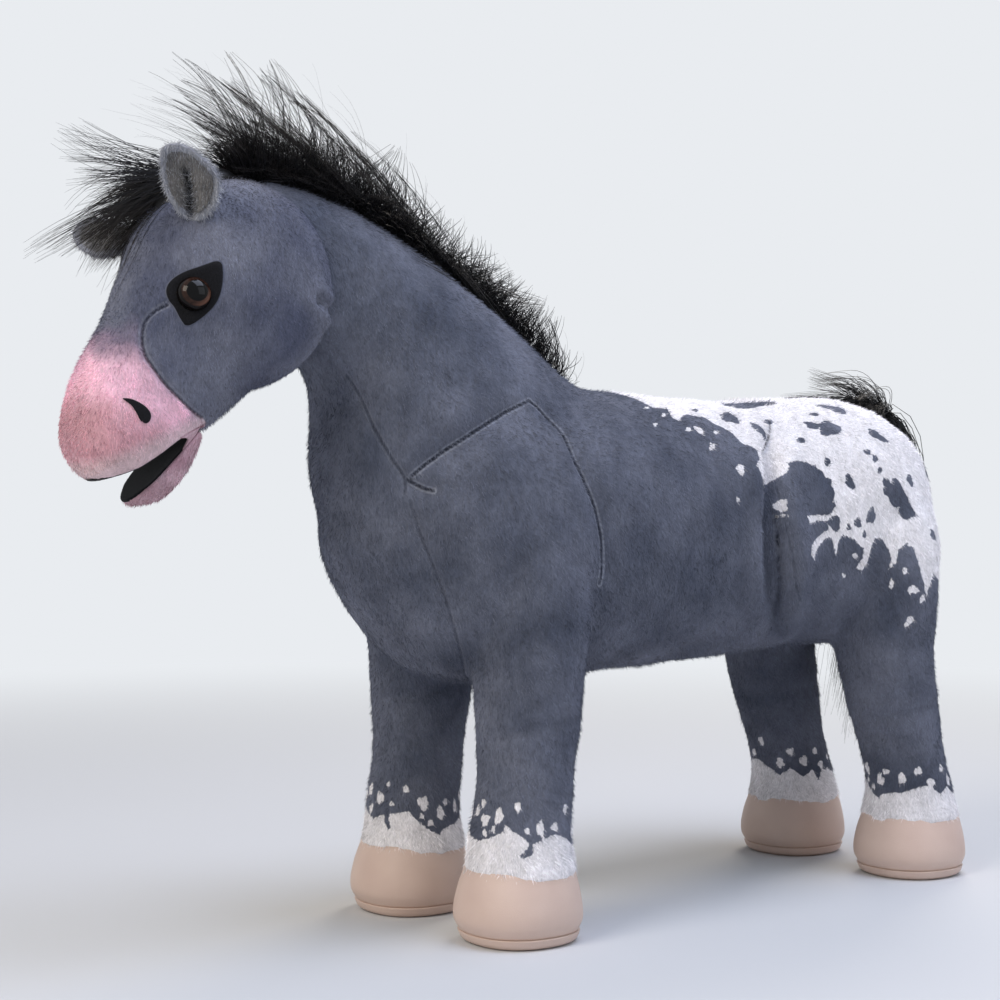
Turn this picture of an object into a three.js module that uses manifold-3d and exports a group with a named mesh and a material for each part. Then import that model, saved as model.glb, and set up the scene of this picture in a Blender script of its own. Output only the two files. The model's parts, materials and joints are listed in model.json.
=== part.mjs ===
// Plush horse: plush panels filled firm round a bent-wire frame, on four leatherette hooves.
// Millimetres, +Z up. The horse faces -Y and its left side is +X. The origin is on the floor,
// under the middle of the whole toy.
import * as THREE from 'three';
import { mergeVertices } from 'three/addons/utils/BufferGeometryUtils.js';
import Module from 'manifold-3d';

const wasm = await Module();
wasm.setup();

// Stance and trunk
const hoofSpan = 449;         // front hoof centres to hind hoof centres
const hoofTrack = 146;        // left hoof centres to right hoof centres
const withersHeight = 431;
const trunkWidth = 220;
const trunkDepth = 232;       // withers to the underside of the chest
const chestReach = 122;       // chest front ahead of the front hoof centres
const rumpReach = 52;         // rump end behind the hind hoof centres
const withersSetback = 77;    // withers behind the front hoof centres

// Neck, from the withers forward and up to the poll
const neckReach = 291;        // withers to the middle of the head, level
const crestRise = 141;        // poll above the withers
const neckRootWidth = 176;
const neckTopWidth = 88;

// Head and face
const headRadius = 77;        // round cheeks, seen from the side
const headWidth = 118;
const crestOverHead = 2;      // neck crest above the top of the cheek rounds
const faceLength = 179;       // middle of the cheeks to the upper lip
const faceDepth = 132;        // bridge of the nose to the throat line
const faceWidth = 98;
const faceSlope = THREE.MathUtils.degToRad(59);    // face line below level

// Mouth
const hingeRadius = 11;       // round root of the lower lip
const lipWidth = 60;
const lipLength = 74;
const lipDepth = 20;
const roofAngle = THREE.MathUtils.degToRad(34);    // from the face line
const floorAngle = THREE.MathUtils.degToRad(11);
const lipRim = 6;             // plush edge left round the linings
const liningThickness = 2;
const liningDepth = 3;        // roof lining set back inside the lips

// Eyes and nostrils
const eyeDiameter = 25;
const eyeDome = 8;
const eyeSink = 1.5;          // dome edge below the felt
const eyeStemRadius = 2.2;
const eyeStemLength = 15;
const washerRadius = 9;
const washerThickness = 1.6;
const patchWidth = 47;
const patchHeight = 44;
const patchThickness = 1.2;
const nostrilLength = 23;
const nostrilHeight = 11;

// Ears
const earHeight = 52;
const earWidth = 46;
const earThickness = 5;
const earLiningThickness = 1.6;
const earRootRadius = 6;
const earSpread = 43;         // middle of the head to each ear's root
const earCup = THREE.MathUtils.degToRad(62);

// Legs and hooves
const legWidth = 75;
const legTop = 300;
const hemHeight = 57;         // lower edge of the plush sock above the floor
const hoofWidth = 99;
const soleHeight = 9;
const standDepth = 0.5;       // rounded sole pressed flat where it stands
const boardThickness = 3;
const boardRim = 9;           // hoof wall round the stiffening board

// Hair
const maneHeight = 66;
const maneWidth = 24;
const maneRoot = 9;           // hair base let into the crest seam
const forelockReach = 118;
const forelockWidth = 60;
const forelockHeight = 60;
const hairParting = THREE.MathUtils.degToRad(13);  // free angle between mane and forelock
const tailDrop = 310;
const tailWidth = 72;
const tailThickness = 34;
const tailClearance = 3;      // hanging hair to the rump
const dockRadius = 8;
const dockLength = 30;
const dockTipRadius = 10;
const dockRootRadius = 12;
const tailLift = THREE.MathUtils.degToRad(30);     // dock from its rest on the rump, up and forward

// Frame of bent wire, with taped bindings where the wires cross
const wireRadius = 2.5;
const wireHeight = 300;
const wireBend = 40;
const wireGap = 1;            // tape between crossing wires
const spineEnd = 22;          // spine wire past the hind crossing
const bindingSize = 20;

// Fits
const seam = 0.4;             // between two sewn or seated pieces
const overrun = 500;          // how far a cutting body reaches past what it cuts
const wireSides = 6;
const cheekSides = 30;
const ballSides = 16;
const rodSides = 16;
const hingeSides = 20;
const eyeSides = 14;
const turning = (radius, sides) => (radius + seam) / Math.cos(Math.PI / sides) - radius;

const across = new THREE.Vector3(1, 0, 0);
const sideView = (y, z, x = 0) => new THREE.Vector3(x, y, z);

function solidOf(geometry) {
  const bare = geometry.clone();
  for (const name of ['normal', 'uv']) bare.deleteAttribute(name);
  const merged = mergeVertices(bare);
  const vertProperties = new Float32Array(merged.attributes.position.array);
  const triVerts = new Uint32Array(merged.index.array);
  const make = () => new wasm.Manifold(new wasm.Mesh({ numProp: 3, vertProperties, triVerts }));
  const solid = make();
  if (solid.volume() > 0) return solid;
  for (let i = 0; i < triVerts.length; i += 3) triVerts.subarray(i, i + 2).reverse();
  return make();
}

function geometryOf(solid) {
  const mesh = solid.getMesh();
  const geometry = new THREE.BufferGeometry();
  geometry.setAttribute('position', new THREE.BufferAttribute(mesh.vertProperties, 3));
  geometry.setIndex(new THREE.BufferAttribute(mesh.triVerts, 1));
  geometry.computeVertexNormals();
  return geometry;
}

// What is left of a solid after the cutters, as one body without any slivers.
function cut(solid, ...cutters) {
  const left = cutters.reduce((rest, cutter) => rest.subtract(cutter), solid);
  return left.decompose().reduce((a, b) => (a.volume() > b.volume() ? a : b));
}

// Moves a geometry to an origin, with its Z along zAxis and its X as near xAxis as it can be.
function placed(geometry, origin, zAxis, xAxis = across) {
  const z = zAxis.clone().normalize();
  const y = z.clone().cross(xAxis).normalize();
  const x = y.clone().cross(z);
  return geometry.clone().applyMatrix4(new THREE.Matrix4().makeBasis(x, y, z).setPosition(origin));
}

function beyond(origin, direction) {
  const block = new THREE.BoxGeometry(overrun, overrun, overrun).translate(0, 0, overrun / 2);
  const aside = Math.abs(direction.x) < Math.SQRT1_2 ? across : sideView(1, 0);
  return solidOf(placed(block, origin, direction, aside));
}

function turned(profile, segments, origin, axis) {
  const points = profile.map(([radius, along]) => new THREE.Vector2(radius, along));
  const lathe = new THREE.LatheGeometry(points, segments).rotateX(Math.PI / 2);
  const aside = Math.abs(axis.clone().normalize().x) < Math.SQRT1_2 ? across : sideView(1, 0);
  return solidOf(placed(lathe, origin, axis, aside));
}

function rod(radius, from, to, origin, axis, sides = rodSides) {
  return turned([[0, from], [radius, from], [radius, to], [0, to]], sides, origin, axis);
}

function ball(radius, centre) {
  return solidOf(new THREE.SphereGeometry(radius, ballSides, ballSides / 2).translate(...centre.toArray()));
}

const ballSocket = (radius, centre) => ball(radius + turning(radius, ballSides / Math.SQRT2), centre);

// Places along a stuffed form where it has a ring, closer together where an end rounds over.
function ringPlaces(rings, startRound, endRound) {
  const endRings = 4;
  const swing = (k) => 1 - Math.cos((k / endRings) * (Math.PI / 2));
  const places = startRound ? [] : [0];
  for (let k = 1; startRound && k <= endRings; k += 1) places.push(startRound * swing(k));
  for (let k = 1; k < rings; k += 1) {
    places.push(THREE.MathUtils.lerp(startRound, 1 - endRound, k / rings));
  }
  for (let k = endRings; endRound && k >= 1; k -= 1) places.push(1 - endRound * swing(k));
  return endRound ? places : [...places, 1];
}

// A form that swells and tapers through stations drawn in the side view. A station has the two
// ends of its section there, its half width and its middle's distance from the horse's middle.
function stuffed(stations, { rings = 10, sides = 20, square = 2.2, widest = 0.5,
  startRound = 0, endRound = 0, grow = 0 } = {}) {
  const curve = (pick) => new THREE.CatmullRomCurve3(stations.map(pick), false, 'centripetal');
  const tops = curve((s) => sideView(...s.top, s.middle));
  const bottoms = curve((s) => sideView(...s.bottom, s.middle));
  const halves = curve((s, i) => sideView(s.half, i));
  const middleAt = (t) => bottoms.getPoint(t).lerp(tops.getPoint(t), widest);
  const fillAt = (t) => {
    const start = startRound ? Math.min(1, t / startRound) : 1;
    const end = endRound ? Math.min(1, (1 - t) / endRound) : 1;
    return Math.sqrt((1 - (1 - start) ** 2) * (1 - (1 - end) ** 2));
  };
  const shaped = (value) => Math.sign(value) * Math.abs(value) ** (2 / square);
  const places = ringPlaces(rings, startRound, endRound);
  const positions = [];
  for (const t of places) {
    const middle = middleAt(t);
    const toTop = tops.getPoint(t).sub(middle);
    const toBottom = bottoms.getPoint(t).sub(middle);
    for (let j = 0; j < sides; j += 1) {
      const angle = (2 * Math.PI * j) / sides;
      const rise = shaped(Math.sin(angle));
      const point = (rise > 0 ? toTop : toBottom).clone().multiplyScalar(Math.abs(rise));
      point.addScaledVector(across, halves.getPoint(t).y * shaped(Math.cos(angle)));
      point.multiplyScalar(fillAt(t));
      positions.push(...point.setLength(point.length() + grow).add(middle).toArray());
    }
  }
  const last = (places.length - 1) * sides;
  for (const [t, inner, round] of [[0, places[1], startRound], [1, places.at(-2), endRound]]) {
    const outward = middleAt(t).sub(middleAt(inner)).normalize();
    positions.push(...middleAt(t).addScaledVector(outward, round ? grow : 0).toArray());
  }
  const index = [];
  for (let j = 0; j < sides; j += 1) {
    const next = (j + 1) % sides;
    for (let ring = 0; ring < last; ring += sides) {
      index.push(ring + j, ring + next, ring + sides + j);
      index.push(ring + next, ring + sides + next, ring + sides + j);
    }
    index.push(last + sides, next, j);
    index.push(last + sides + 1, last + j, last + next);
  }
  const geometry = new THREE.BufferGeometry();
  geometry.setAttribute('position', new THREE.BufferAttribute(new Float32Array(positions), 3));
  geometry.setIndex(index);
  return solidOf(geometry);
}

function wire(points, radius, steps) {
  const section = [];
  for (let k = 0; k < wireSides; k += 1) {
    const angle = (k / wireSides) * 2 * Math.PI;
    section.push(new THREE.Vector2(radius * Math.cos(angle), radius * Math.sin(angle)));
  }
  const extrudePath = new THREE.CatmullRomCurve3(points, false, 'centripetal');
  return solidOf(new THREE.ExtrudeGeometry(new THREE.Shape(section), { steps, extrudePath }));
}

// The point where a line from inside a solid comes out of it.
function surfacePoint(solid, inside, direction) {
  const bothSides = new THREE.MeshBasicMaterial({ side: THREE.DoubleSide });
  const skin = new THREE.Mesh(geometryOf(solid), bothSides);
  const hits = new THREE.Raycaster(inside, direction.clone().normalize()).intersectObject(skin);
  return hits.at(-1).point;
}

const horse = new THREE.Group();

function piece(name, solid, colour, roughness, metalness = 0) {
  const material = new THREE.MeshStandardMaterial({ color: colour, roughness, metalness });
  const mesh = new THREE.Mesh(geometryOf(solid), material);
  mesh.name = name;
  horse.add(mesh);
}

const plush = ['#52566a', 0.95];
const pinkPlush = ['#b98394', 0.95];
const hair = ['#17171b', 0.8];
const felt = ['#101013', 0.9];
const leatherette = ['#c9ab92', 0.5];
const steel = ['#8d9095', 0.35, 0.9];

// Trunk: barrel, chest and rump in one
const frontY = -hoofSpan / 2;
const hindY = hoofSpan / 2;
const chestY = frontY - chestReach;
const rumpY = hindY + rumpReach;
const trunkShares = [         // along, top, depth below the withers, width
  [0, 0.86, 0.73, 0.74], [0.115, 0.985, 0.97, 0.95], [0.21, 1, 1.03, 1], [0.395, 0.995, 1.01, 0.95],
  [0.6, 0.985, 0.985, 0.88], [0.73, 0.995, 0.96, 0.96], [0.84, 1, 0.955, 1],
  [0.925, 0.965, 0.875, 0.94], [1, 0.87, 0.73, 0.8],
];
function trunk(grow) {
  const stations = trunkShares.map(([along, top, depth, width]) => {
    const y = THREE.MathUtils.lerp(chestY, rumpY, along);
    return { top: [y, withersHeight * top], bottom: [y, withersHeight - trunkDepth * depth],
      half: (trunkWidth / 2) * width };
  });
  return stuffed(stations, { rings: 10, sides: 22, square: 2.35, startRound: 0.17,
    endRound: 0.17, grow });
}

// Neck: crest line above, throat line below
const withersY = frontY + withersSetback;
const neckShares = [          // crest ahead and up, throat ahead and up, width from top to root
  [-0.13, -0.04, 0.66, -0.93, 1], [0, 0.07, 0.7, -0.61, 0.95], [0.144, 0.284, 0.705, -0.42, 0.8],
  [0.313, 0.518, 0.705, -0.22, 0.58], [0.478, 0.716, 0.712, -0.09, 0.36],
  [0.636, 0.879, 0.753, 0.035, 0.18], [0.787, 0.965, 0.835, 0.17, 0.06], [0.935, 1, 0.955, 0.31, 0],
];
const neckPoint = (ahead, rise) => [withersY - neckReach * ahead, withersHeight + crestRise * rise];
function neck(grow) {
  const stations = neckShares.map(([crestAhead, crestUp, throatAhead, throatUp, width]) => ({
    top: neckPoint(crestAhead, crestUp), bottom: neckPoint(throatAhead, throatUp),
    half: THREE.MathUtils.lerp(neckTopWidth, neckRootWidth, width) / 2,
  }));
  return stuffed(stations, { rings: 11, sides: 18, widest: 0.46, grow });
}

// Head: round cheeks turned about the nodding axis, and the face that runs down from them
const headY = withersY - neckReach;
const headZ = withersHeight + crestRise - crestOverHead - headRadius;
const headMiddle = sideView(headY, headZ);
const downFace = sideView(-Math.cos(faceSlope), -Math.sin(faceSlope));
const offFace = sideView(-Math.sin(faceSlope), Math.cos(faceSlope));
const facePoint = (down, off, x = 0) => sideView(headY, headZ, x)
  .addScaledVector(downFace, down).addScaledVector(offFace, off);
const faceShares = [          // down the face, bridge, throat, width
  [-0.28, 0.42, -0.3, 0.9], [-0.045, 0.57, -0.42, 0.98], [0.207, 0.538, -0.42, 1],
  [0.425, 0.492, -0.34, 0.9], [0.575, 0.49, -0.26, 0.84], [0.75, 0.455, -0.17, 0.86],
  [0.894, 0.385, -0.05, 0.84], [1, 0.28, 0.06, 0.74],
];
function face(grow, inset = 0) {
  const stations = faceShares.map(([down, bridge, throat, width]) => {
    const end = (share) => facePoint((faceLength - inset) * down, faceDepth * share).toArray().slice(1);
    return { top: end(bridge), bottom: end(throat), half: (faceWidth / 2 - inset) * width };
  });
  return stuffed(stations, { rings: 8, sides: 18, square: 2.4, startRound: 0.14, endRound: 0.16,
    grow });
}
function cheeks(grow) {
  const profile = [];
  const roundSides = 10;
  const fullness = 2 / 2.5;
  for (let k = 0; k <= roundSides; k += 1) {
    const angle = Math.PI * (k / roundSides - 0.5);
    const along = Math.sign(angle) * Math.abs(Math.sin(angle)) ** fullness;
    const out = k % roundSides === 0 ? 0 : (headRadius + grow) * Math.cos(angle) ** fullness;
    profile.push([out, (headWidth / 2 + grow) * along]);
  }
  return turned(profile, cheekSides, headMiddle, across);
}

// Mouth: the lower lip turns on a round root at the corners of the mouth
const cornerShares = [0.585, -0.19];    // down the face, off it
const corner = facePoint(faceLength * cornerShares[0], faceDepth * cornerShares[1]);
const mouthLine = (angle) => downFace.clone().multiplyScalar(Math.cos(angle))
  .addScaledVector(offFace, Math.sin(angle));
const mouthNormal = (angle) => mouthLine(angle + Math.PI / 2);
const roof = mouthLine(roofAngle);
const roofUp = mouthNormal(roofAngle);
const floor = mouthLine(floorAngle);
const floorUp = mouthNormal(floorAngle);
const from = (origin, ...parts) => parts.reduce(
  (point, [direction, length]) => point.addScaledVector(direction, length), origin.clone());

const hingeCut = rod(hingeRadius + seam, -lipWidth / 2 - seam, lipWidth / 2 + seam, corner, across,
  hingeSides);
const behindMuzzle = beyond(corner, downFace.clone().negate());
const aheadOfMuzzle = beyond(from(corner, [downFace, -seam]), downFace);
const belowRoof = beyond(corner, roofUp.clone().negate());
const liningStart = hingeRadius + lipRim;
function roofLayer(inset, low, high, start) {
  return cut(face(0, inset), beyond(from(corner, [roofUp, low]), roofUp.clone().negate()),
    beyond(from(corner, [roofUp, high]), roofUp),
    beyond(from(corner, [roof, start]), roof.clone().negate()));
}
const roofHollow = roofLayer(lipRim, -seam, liningDepth + liningThickness, liningStart);
const roofLining = roofLayer(lipRim + seam, liningDepth, liningDepth + liningThickness - seam,
  liningStart + seam);
const muzzle = cut(face(0), behindMuzzle, cheeks(seam), belowRoof, hingeCut, roofHollow);

const lipShares = [           // along, depth, width
  [0, 0.8, 1], [0.35, 1, 0.97], [0.7, 0.95, 0.86], [1, 0.7, 0.66],
];
function lip(inset) {
  const stations = lipShares.map(([along, depth, width]) => {
    const end = (rise) => from(corner, [floor, (lipLength - inset) * along],
      [floorUp, rise * (lipDepth - inset) * depth]).toArray().slice(1);
    return { top: end(1), bottom: end(-1), half: (lipWidth / 2 - inset) * width };
  });
  return stuffed(stations, { rings: 4, sides: 14, endRound: 0.35 });
}
const floorLayer = (inset, low, high, start) => cut(lip(inset),
  beyond(from(corner, [floorUp, low]), floorUp.clone().negate()),
  beyond(from(corner, [floorUp, high]), floorUp),
  beyond(from(corner, [floor, start]), floor.clone().negate()));
const floorHollow = floorLayer(lipRim, -liningThickness, seam, liningStart);
const floorLining = floorLayer(lipRim + seam, seam - liningThickness, liningThickness / 2,
  liningStart + seam);
const lipRoot = rod(hingeRadius, -lipWidth / 2, lipWidth / 2, corner, across, hingeSides);
const lowerLip = cut(cut(lip(0), beyond(corner, floorUp)).add(lipRoot), floorHollow);

// Eyes: a domed eye on a stem, through a felt patch, held by a washer inside the head
const eyeShares = [0.233, 0.172];        // down the face, off it
const eyeInside = facePoint(faceLength * eyeShares[0], faceDepth * eyeShares[1]);
const skull = cheeks(0).add(cut(face(0), aheadOfMuzzle));
const eyes = [1, -1].map((side) => {
  const outward = from(across.clone().multiplyScalar(side), [offFace, 0.3], [downFace, -0.08])
    .normalize();
  const onSkin = surfacePoint(skull, eyeInside, outward);
  const base = from(onSkin, [outward, patchThickness - eyeSink]);
  return { side, outward, base };
});
const eyeRadius = eyeDiameter / 2;
function eyeBody({ base, outward }) {
  const profile = [[0, -eyeStemLength], [eyeStemRadius, -eyeStemLength], [eyeStemRadius, 0]];
  const domeSides = 4;
  for (let k = 0; k <= domeSides; k += 1) {
    const angle = (k / domeSides) * (Math.PI / 2);
    profile.push([k === domeSides ? 0 : eyeRadius * Math.cos(angle), eyeDome * Math.sin(angle)]);
  }
  return turned(profile, eyeSides, base, outward);
}
const eyeSeat = ({ base, outward }) => rod(eyeRadius + seam, -2 * seam, overrun / 2, base, outward,
  eyeSides);
const stemBore = ({ base, outward }) => rod(eyeStemRadius + seam, -eyeStemLength - seam, 0, base,
  outward, 8);
const washerTop = -eyeStemLength / 2;
const washer = ({ base, outward }, grow) => rod(washerRadius + grow,
  washerTop - washerThickness - grow, washerTop + grow, base, outward, 12);
const patchOutlineShares = [  // round the felt from its top back corner: back, up
  [0.39, 0.48], [0.44, 0.3], [0.375, -0.03], [0.22, -0.3], [-0.136, -0.52], [-0.56, -0.12],
  [-0.39, 0.28], [-0.085, 0.415], [0.085, 0.465],
];
// A block with the given outline, drawn on the left side of the horse and mirrored on the right.
function decal(outlineShares, width, height, { origin, outward, along, side }) {
  const shape = new THREE.Shape(
    outlineShares.map(([a, b]) => new THREE.Vector2(side * a * width, b * height)));
  const depth = overrun / 4;
  return solidOf(placed(new THREE.ExtrudeGeometry(shape, { depth, bevelEnabled: false }), origin,
    outward, along.clone().multiplyScalar(side)));
}
const grownSkull = (grow) => cheeks(grow).add(face(grow));
function eyePatch(eye) {
  const outline = decal(patchOutlineShares, patchWidth, patchHeight,
    { ...eye, origin: from(eye.base, [eye.outward, -eyeDome]), along: sideView(1, 0) });
  return cut(outline.intersect(grownSkull(seam + patchThickness)), grownSkull(seam), eyeSeat(eye));
}

// Ears: a cupped plush leaf on a rolled root let into the head, with a lining inside the cup
const leafHalf = (up) => (earWidth / 2) * Math.sin(Math.PI * (0.15 + 0.83 * up)) ** 0.7;
function leaf({ origin, upward, facing }, inner, outer, trim) {
  const sheet = new THREE.BoxGeometry(2, 1, 1, 6, 6, 1);
  const spots = sheet.attributes.position;
  const sideways = upward.clone().cross(facing).normalize();
  for (let i = 0; i < spots.count; i += 1) {
    const up = THREE.MathUtils.lerp(trim, 1 - trim, spots.getY(i) + 0.5);
    const cup = earCup * (1 - 0.3 * up);
    const radius = leafHalf(up) / Math.sin(cup);
    const reach = radius + (spots.getZ(i) > 0 ? inner : outer);
    const angle = cup * spots.getX(i) * (1 - 1.5 * trim);
    const point = from(origin, [upward, earRootRadius - earThickness / 4 + earHeight * up],
      [sideways, reach * Math.sin(angle)],
      [facing, radius - reach * Math.cos(angle)]);
    spots.setXYZ(i, ...point.toArray());
  }
  return solidOf(sheet);
}
const earAims = [
  { name: 'left', side: 1, upward: [0.3, -0.2, 1], facing: [0.8, -0.6, 0] },
  { name: 'right', side: -1, upward: [-0.75, -0.42, -0.08], facing: [0.5, -0.95, 0.4] },
];
const ears = earAims.map(({ name, side, upward: aim, facing: look }) => {
  const upward = new THREE.Vector3(...aim).normalize();
  const facing = new THREE.Vector3(...look).projectOnPlane(upward).normalize();
  const towards = sideView(-0.65 * headRadius, 0.53 * headRadius, side * earSpread);
  const onSkin = surfacePoint(skull, headMiddle, towards);
  return { name, upward, facing, origin: onSkin };
});
function earRoot({ origin, upward, facing }, grow) {
  const half = leafHalf(0) + grow;
  return rod(earRootRadius + grow, -half, half, origin, upward.clone().cross(facing), 12);
}
const earBody = (ear) => leaf(ear, -earThickness / 2, earThickness / 2, 0).add(earRoot(ear, 0));
const cupFace = -earThickness / 2 - seam;
const earLining = (ear) => cut(leaf(ear, cupFace - earLiningThickness, cupFace + seam, 0.1),
  leaf(ear, cupFace, 0, 0), earRoot(ear, seam));

piece('muzzle', muzzle, ...pinkPlush);
piece('palate_lining', roofLining, ...felt);
piece('lower_lip', lowerLip, ...pinkPlush);
piece('lip_lining', floorLining, ...felt);

const nostrilShares = [       // round the nostril, from its thick end
  [-0.5, 0.05], [-0.36, 0.4], [-0.12, 0.5], [0.14, 0.24], [0.5, -0.34], [0.16, -0.4], [-0.16, -0.32],
  [-0.42, -0.3],
];
const nostrilSpot = [0.725, 0.12];        // down the face, off it, as shares
for (const [name, side] of [['left', 1], ['right', -1]]) {
  const outward = from(across.clone().multiplyScalar(side), [offFace, 0.35]).normalize();
  const inside = facePoint(faceLength * nostrilSpot[0], faceDepth * nostrilSpot[1]);
  const outline = decal(nostrilShares, nostrilLength, nostrilHeight,
    { origin: inside, outward, along: offFace.clone().negate(), side });
  piece(`nostril_${name}`, cut(outline.intersect(face(seam + patchThickness)), face(seam)), ...felt);
}

let head = cut(skull, hingeCut);
for (const eye of eyes) {
  const name = eye.side > 0 ? 'left' : 'right';
  head = cut(head, eyeSeat(eye), stemBore(eye), washer(eye, seam));
  piece(`eye_${name}`, eyeBody(eye), '#2a1710', 0.08);
  piece(`eye_patch_${name}`, eyePatch(eye), ...felt);
  piece(`eye_washer_${name}`, cut(washer(eye, 0), stemBore(eye)), '#e8e6df', 0.5);
}
for (const ear of ears) {
  const leafFoot = { ...ear, origin: from(ear.origin, [ear.upward, earRootRadius]) };
  head = cut(head, earRoot(ear, seam), earRoot(leafFoot, earThickness / 2));
  piece(`ear_${ear.name}`, earBody(ear), ...plush);
  piece(`ear_lining_${ear.name}`, earLining(ear), '#6d7078', 0.95);
}
piece('head', head, ...plush);

// Legs: plush down to a flared sock hem, cut to the trunk above
const frontLegShares = [      // up the leg, shift back, depth and width as shares of the leg width
  [0, 0, 0.56, 0.56], [0.075, 0, 0.51, 0.51], [0.22, 0.05, 0.49, 0.49], [0.38, 0.1, 0.51, 0.51],
  [0.59, 0.12, 0.585, 0.55], [0.83, 0.12, 0.66, 0.59], [1, 0.12, 0.68, 0.59],
];
const hindLegShares = [
  [0, 0, 0.55, 0.55], [0.075, -0.03, 0.5, 0.5], [0.22, -0.15, 0.49, 0.49], [0.38, -0.3, 0.54, 0.51],
  [0.59, -0.46, 0.6, 0.55], [0.83, -0.5, 0.7, 0.6], [1, -0.5, 0.74, 0.6],
];
function leg(shares, y, x) {
  const stations = shares.map(([rise, back, depth, width]) => {
    const z = THREE.MathUtils.lerp(hemHeight, legTop, rise);
    const middle = y + legWidth * back;
    return { top: [middle + legWidth * depth, z], bottom: [middle - legWidth * depth, z],
      half: legWidth * width, middle: x };
  });
  return stuffed(stations, { rings: 8, sides: 16, square: 2.1 });
}

// Hoof: leatherette drawn over a stiffening board, with a sole sewn on below
const hoofShares = [          // up the hoof, toe, heel, width
  [0, 0.49, 0.465, 0.48], [0.3, 0.53, 0.49, 0.5], [0.65, 0.5, 0.47, 0.48], [1, 0.44, 0.43, 0.43],
];
const soleShares = [[0, 0.4, 0.38, 0.39], [0.35, 0.46, 0.44, 0.45], [1, 0.49, 0.465, 0.48]];
function hoofForm(shares, low, high, y, x, rings, grow = 0) {
  const stations = shares.map(([rise, toe, heel, width]) => {
    const z = THREE.MathUtils.lerp(low, high, rise);
    return { top: [y + hoofWidth * heel, z], bottom: [y - hoofWidth * toe, z],
      half: hoofWidth * width, middle: x };
  });
  return stuffed(stations, { rings, sides: 16, square: 2.1, grow });
}
function boardForm(low, high, y, x, grow) {
  return hoofForm([[0, 0.49, 0.465, 0.48], [1, 0.49, 0.465, 0.48]], low, high, y, x, 1, grow - boardRim);
}

// Wire frame: two bent uprights that cross the trunk, and a spine wire that runs up the neck
const footZ = soleHeight + seam + boardThickness + seam;
const uprightPath = (y, shares) => {
  const points = shares.map(([rise, back]) => [THREE.MathUtils.lerp(hemHeight, legTop, rise),
    y + legWidth * back]);
  const topY = points.at(-1)[1];
  const side = [[footZ, y], ...points.slice(1).filter(([z]) => z < wireHeight - wireBend)];
  const half = (s) => side.map(([z, at]) => sideView(at, z, (s * hoofTrack) / 2));
  const bend = (s) => [sideView(topY, wireHeight - wireBend, (s * hoofTrack) / 2),
    sideView(topY, wireHeight, s * (hoofTrack / 2 - wireBend))];
  return [...half(-1), ...bend(-1), sideView(topY, wireHeight), ...bend(1).reverse(),
    ...half(1).reverse()];
};
const frontPath = uprightPath(frontY, frontLegShares);
const hindPath = uprightPath(hindY, hindLegShares);
const crossing = (path) => path[(path.length - 1) / 2];
const neckWireShares = [0.25, 0.5, 0.72];         // bends up the neck
const spineZ = wireHeight + 2 * wireRadius + wireGap;
const spinePath = [
  sideView(crossing(hindPath).y + spineEnd, spineZ), sideView(0, spineZ),
  sideView(crossing(frontPath).y, spineZ),
  sideView(crossing(frontPath).y - wireBend, spineZ + 2 * wireRadius),
  ...neckWireShares.map((share) => sideView(
    THREE.MathUtils.lerp(withersY - neckReach / 2, headY + headRadius, share),
    THREE.MathUtils.lerp(spineZ, headZ, share))),
];
const wirePieces = {
  front_leg_wire: [frontPath, 26], hind_leg_wire: [hindPath, 26], spine_wire: [spinePath, 16],
};
const channels = [];
const cornerShare = 1 / Math.cos(Math.PI / wireSides);
for (const [name, [path, steps]] of Object.entries(wirePieces)) {
  piece(name, wire(path, wireRadius, steps), ...steel);
  channels.push(wire(path, (wireRadius + seam) * cornerShare, steps));
}
const bindings = { front_binding: crossing(frontPath), rear_binding: crossing(hindPath) };
const bindingCuts = [];
for (const [name, at] of Object.entries(bindings)) {
  const centre = at.clone().setZ((at.z + spineZ) / 2);
  const block = (size) => solidOf(
    new THREE.BoxGeometry(size, size, size).translate(...centre.toArray()));
  piece(name, cut(block(bindingSize), ...channels), '#1d1d1f', 0.6);
  bindingCuts.push(block(bindingSize + 2 * seam));
}

const trunkCut = trunk(seam);
for (const [end, y, shares] of [['front', frontY, frontLegShares], ['hind', hindY, hindLegShares]]) {
  for (const [name, x] of [['left', hoofTrack / 2], ['right', -hoofTrack / 2]]) {
    const boardTop = soleHeight + seam + boardThickness;
    const boardRoom = boardForm(soleHeight, boardTop + seam, y, x, seam);
    const hoof = hoofForm(hoofShares, soleHeight + seam, hemHeight - seam, y, x, 4);
    const flat = beyond(sideView(y, standDepth, x), sideView(0, -1));
    const sole = hoofForm(soleShares, 0, soleHeight, y, x, 3);
    piece(`${end}_leg_${name}`, cut(leg(shares, y, x), trunkCut, ...channels), ...plush);
    piece(`${end}_hoof_${name}`, cut(hoof, boardRoom, ...channels), ...leatherette);
    piece(`${end}_board_${name}`, boardForm(soleHeight + seam, boardTop, y, x, 0), '#b08d62', 0.85);
    piece(`${end}_sole_${name}`, cut(sole, flat), ...leatherette);
  }
}

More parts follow.
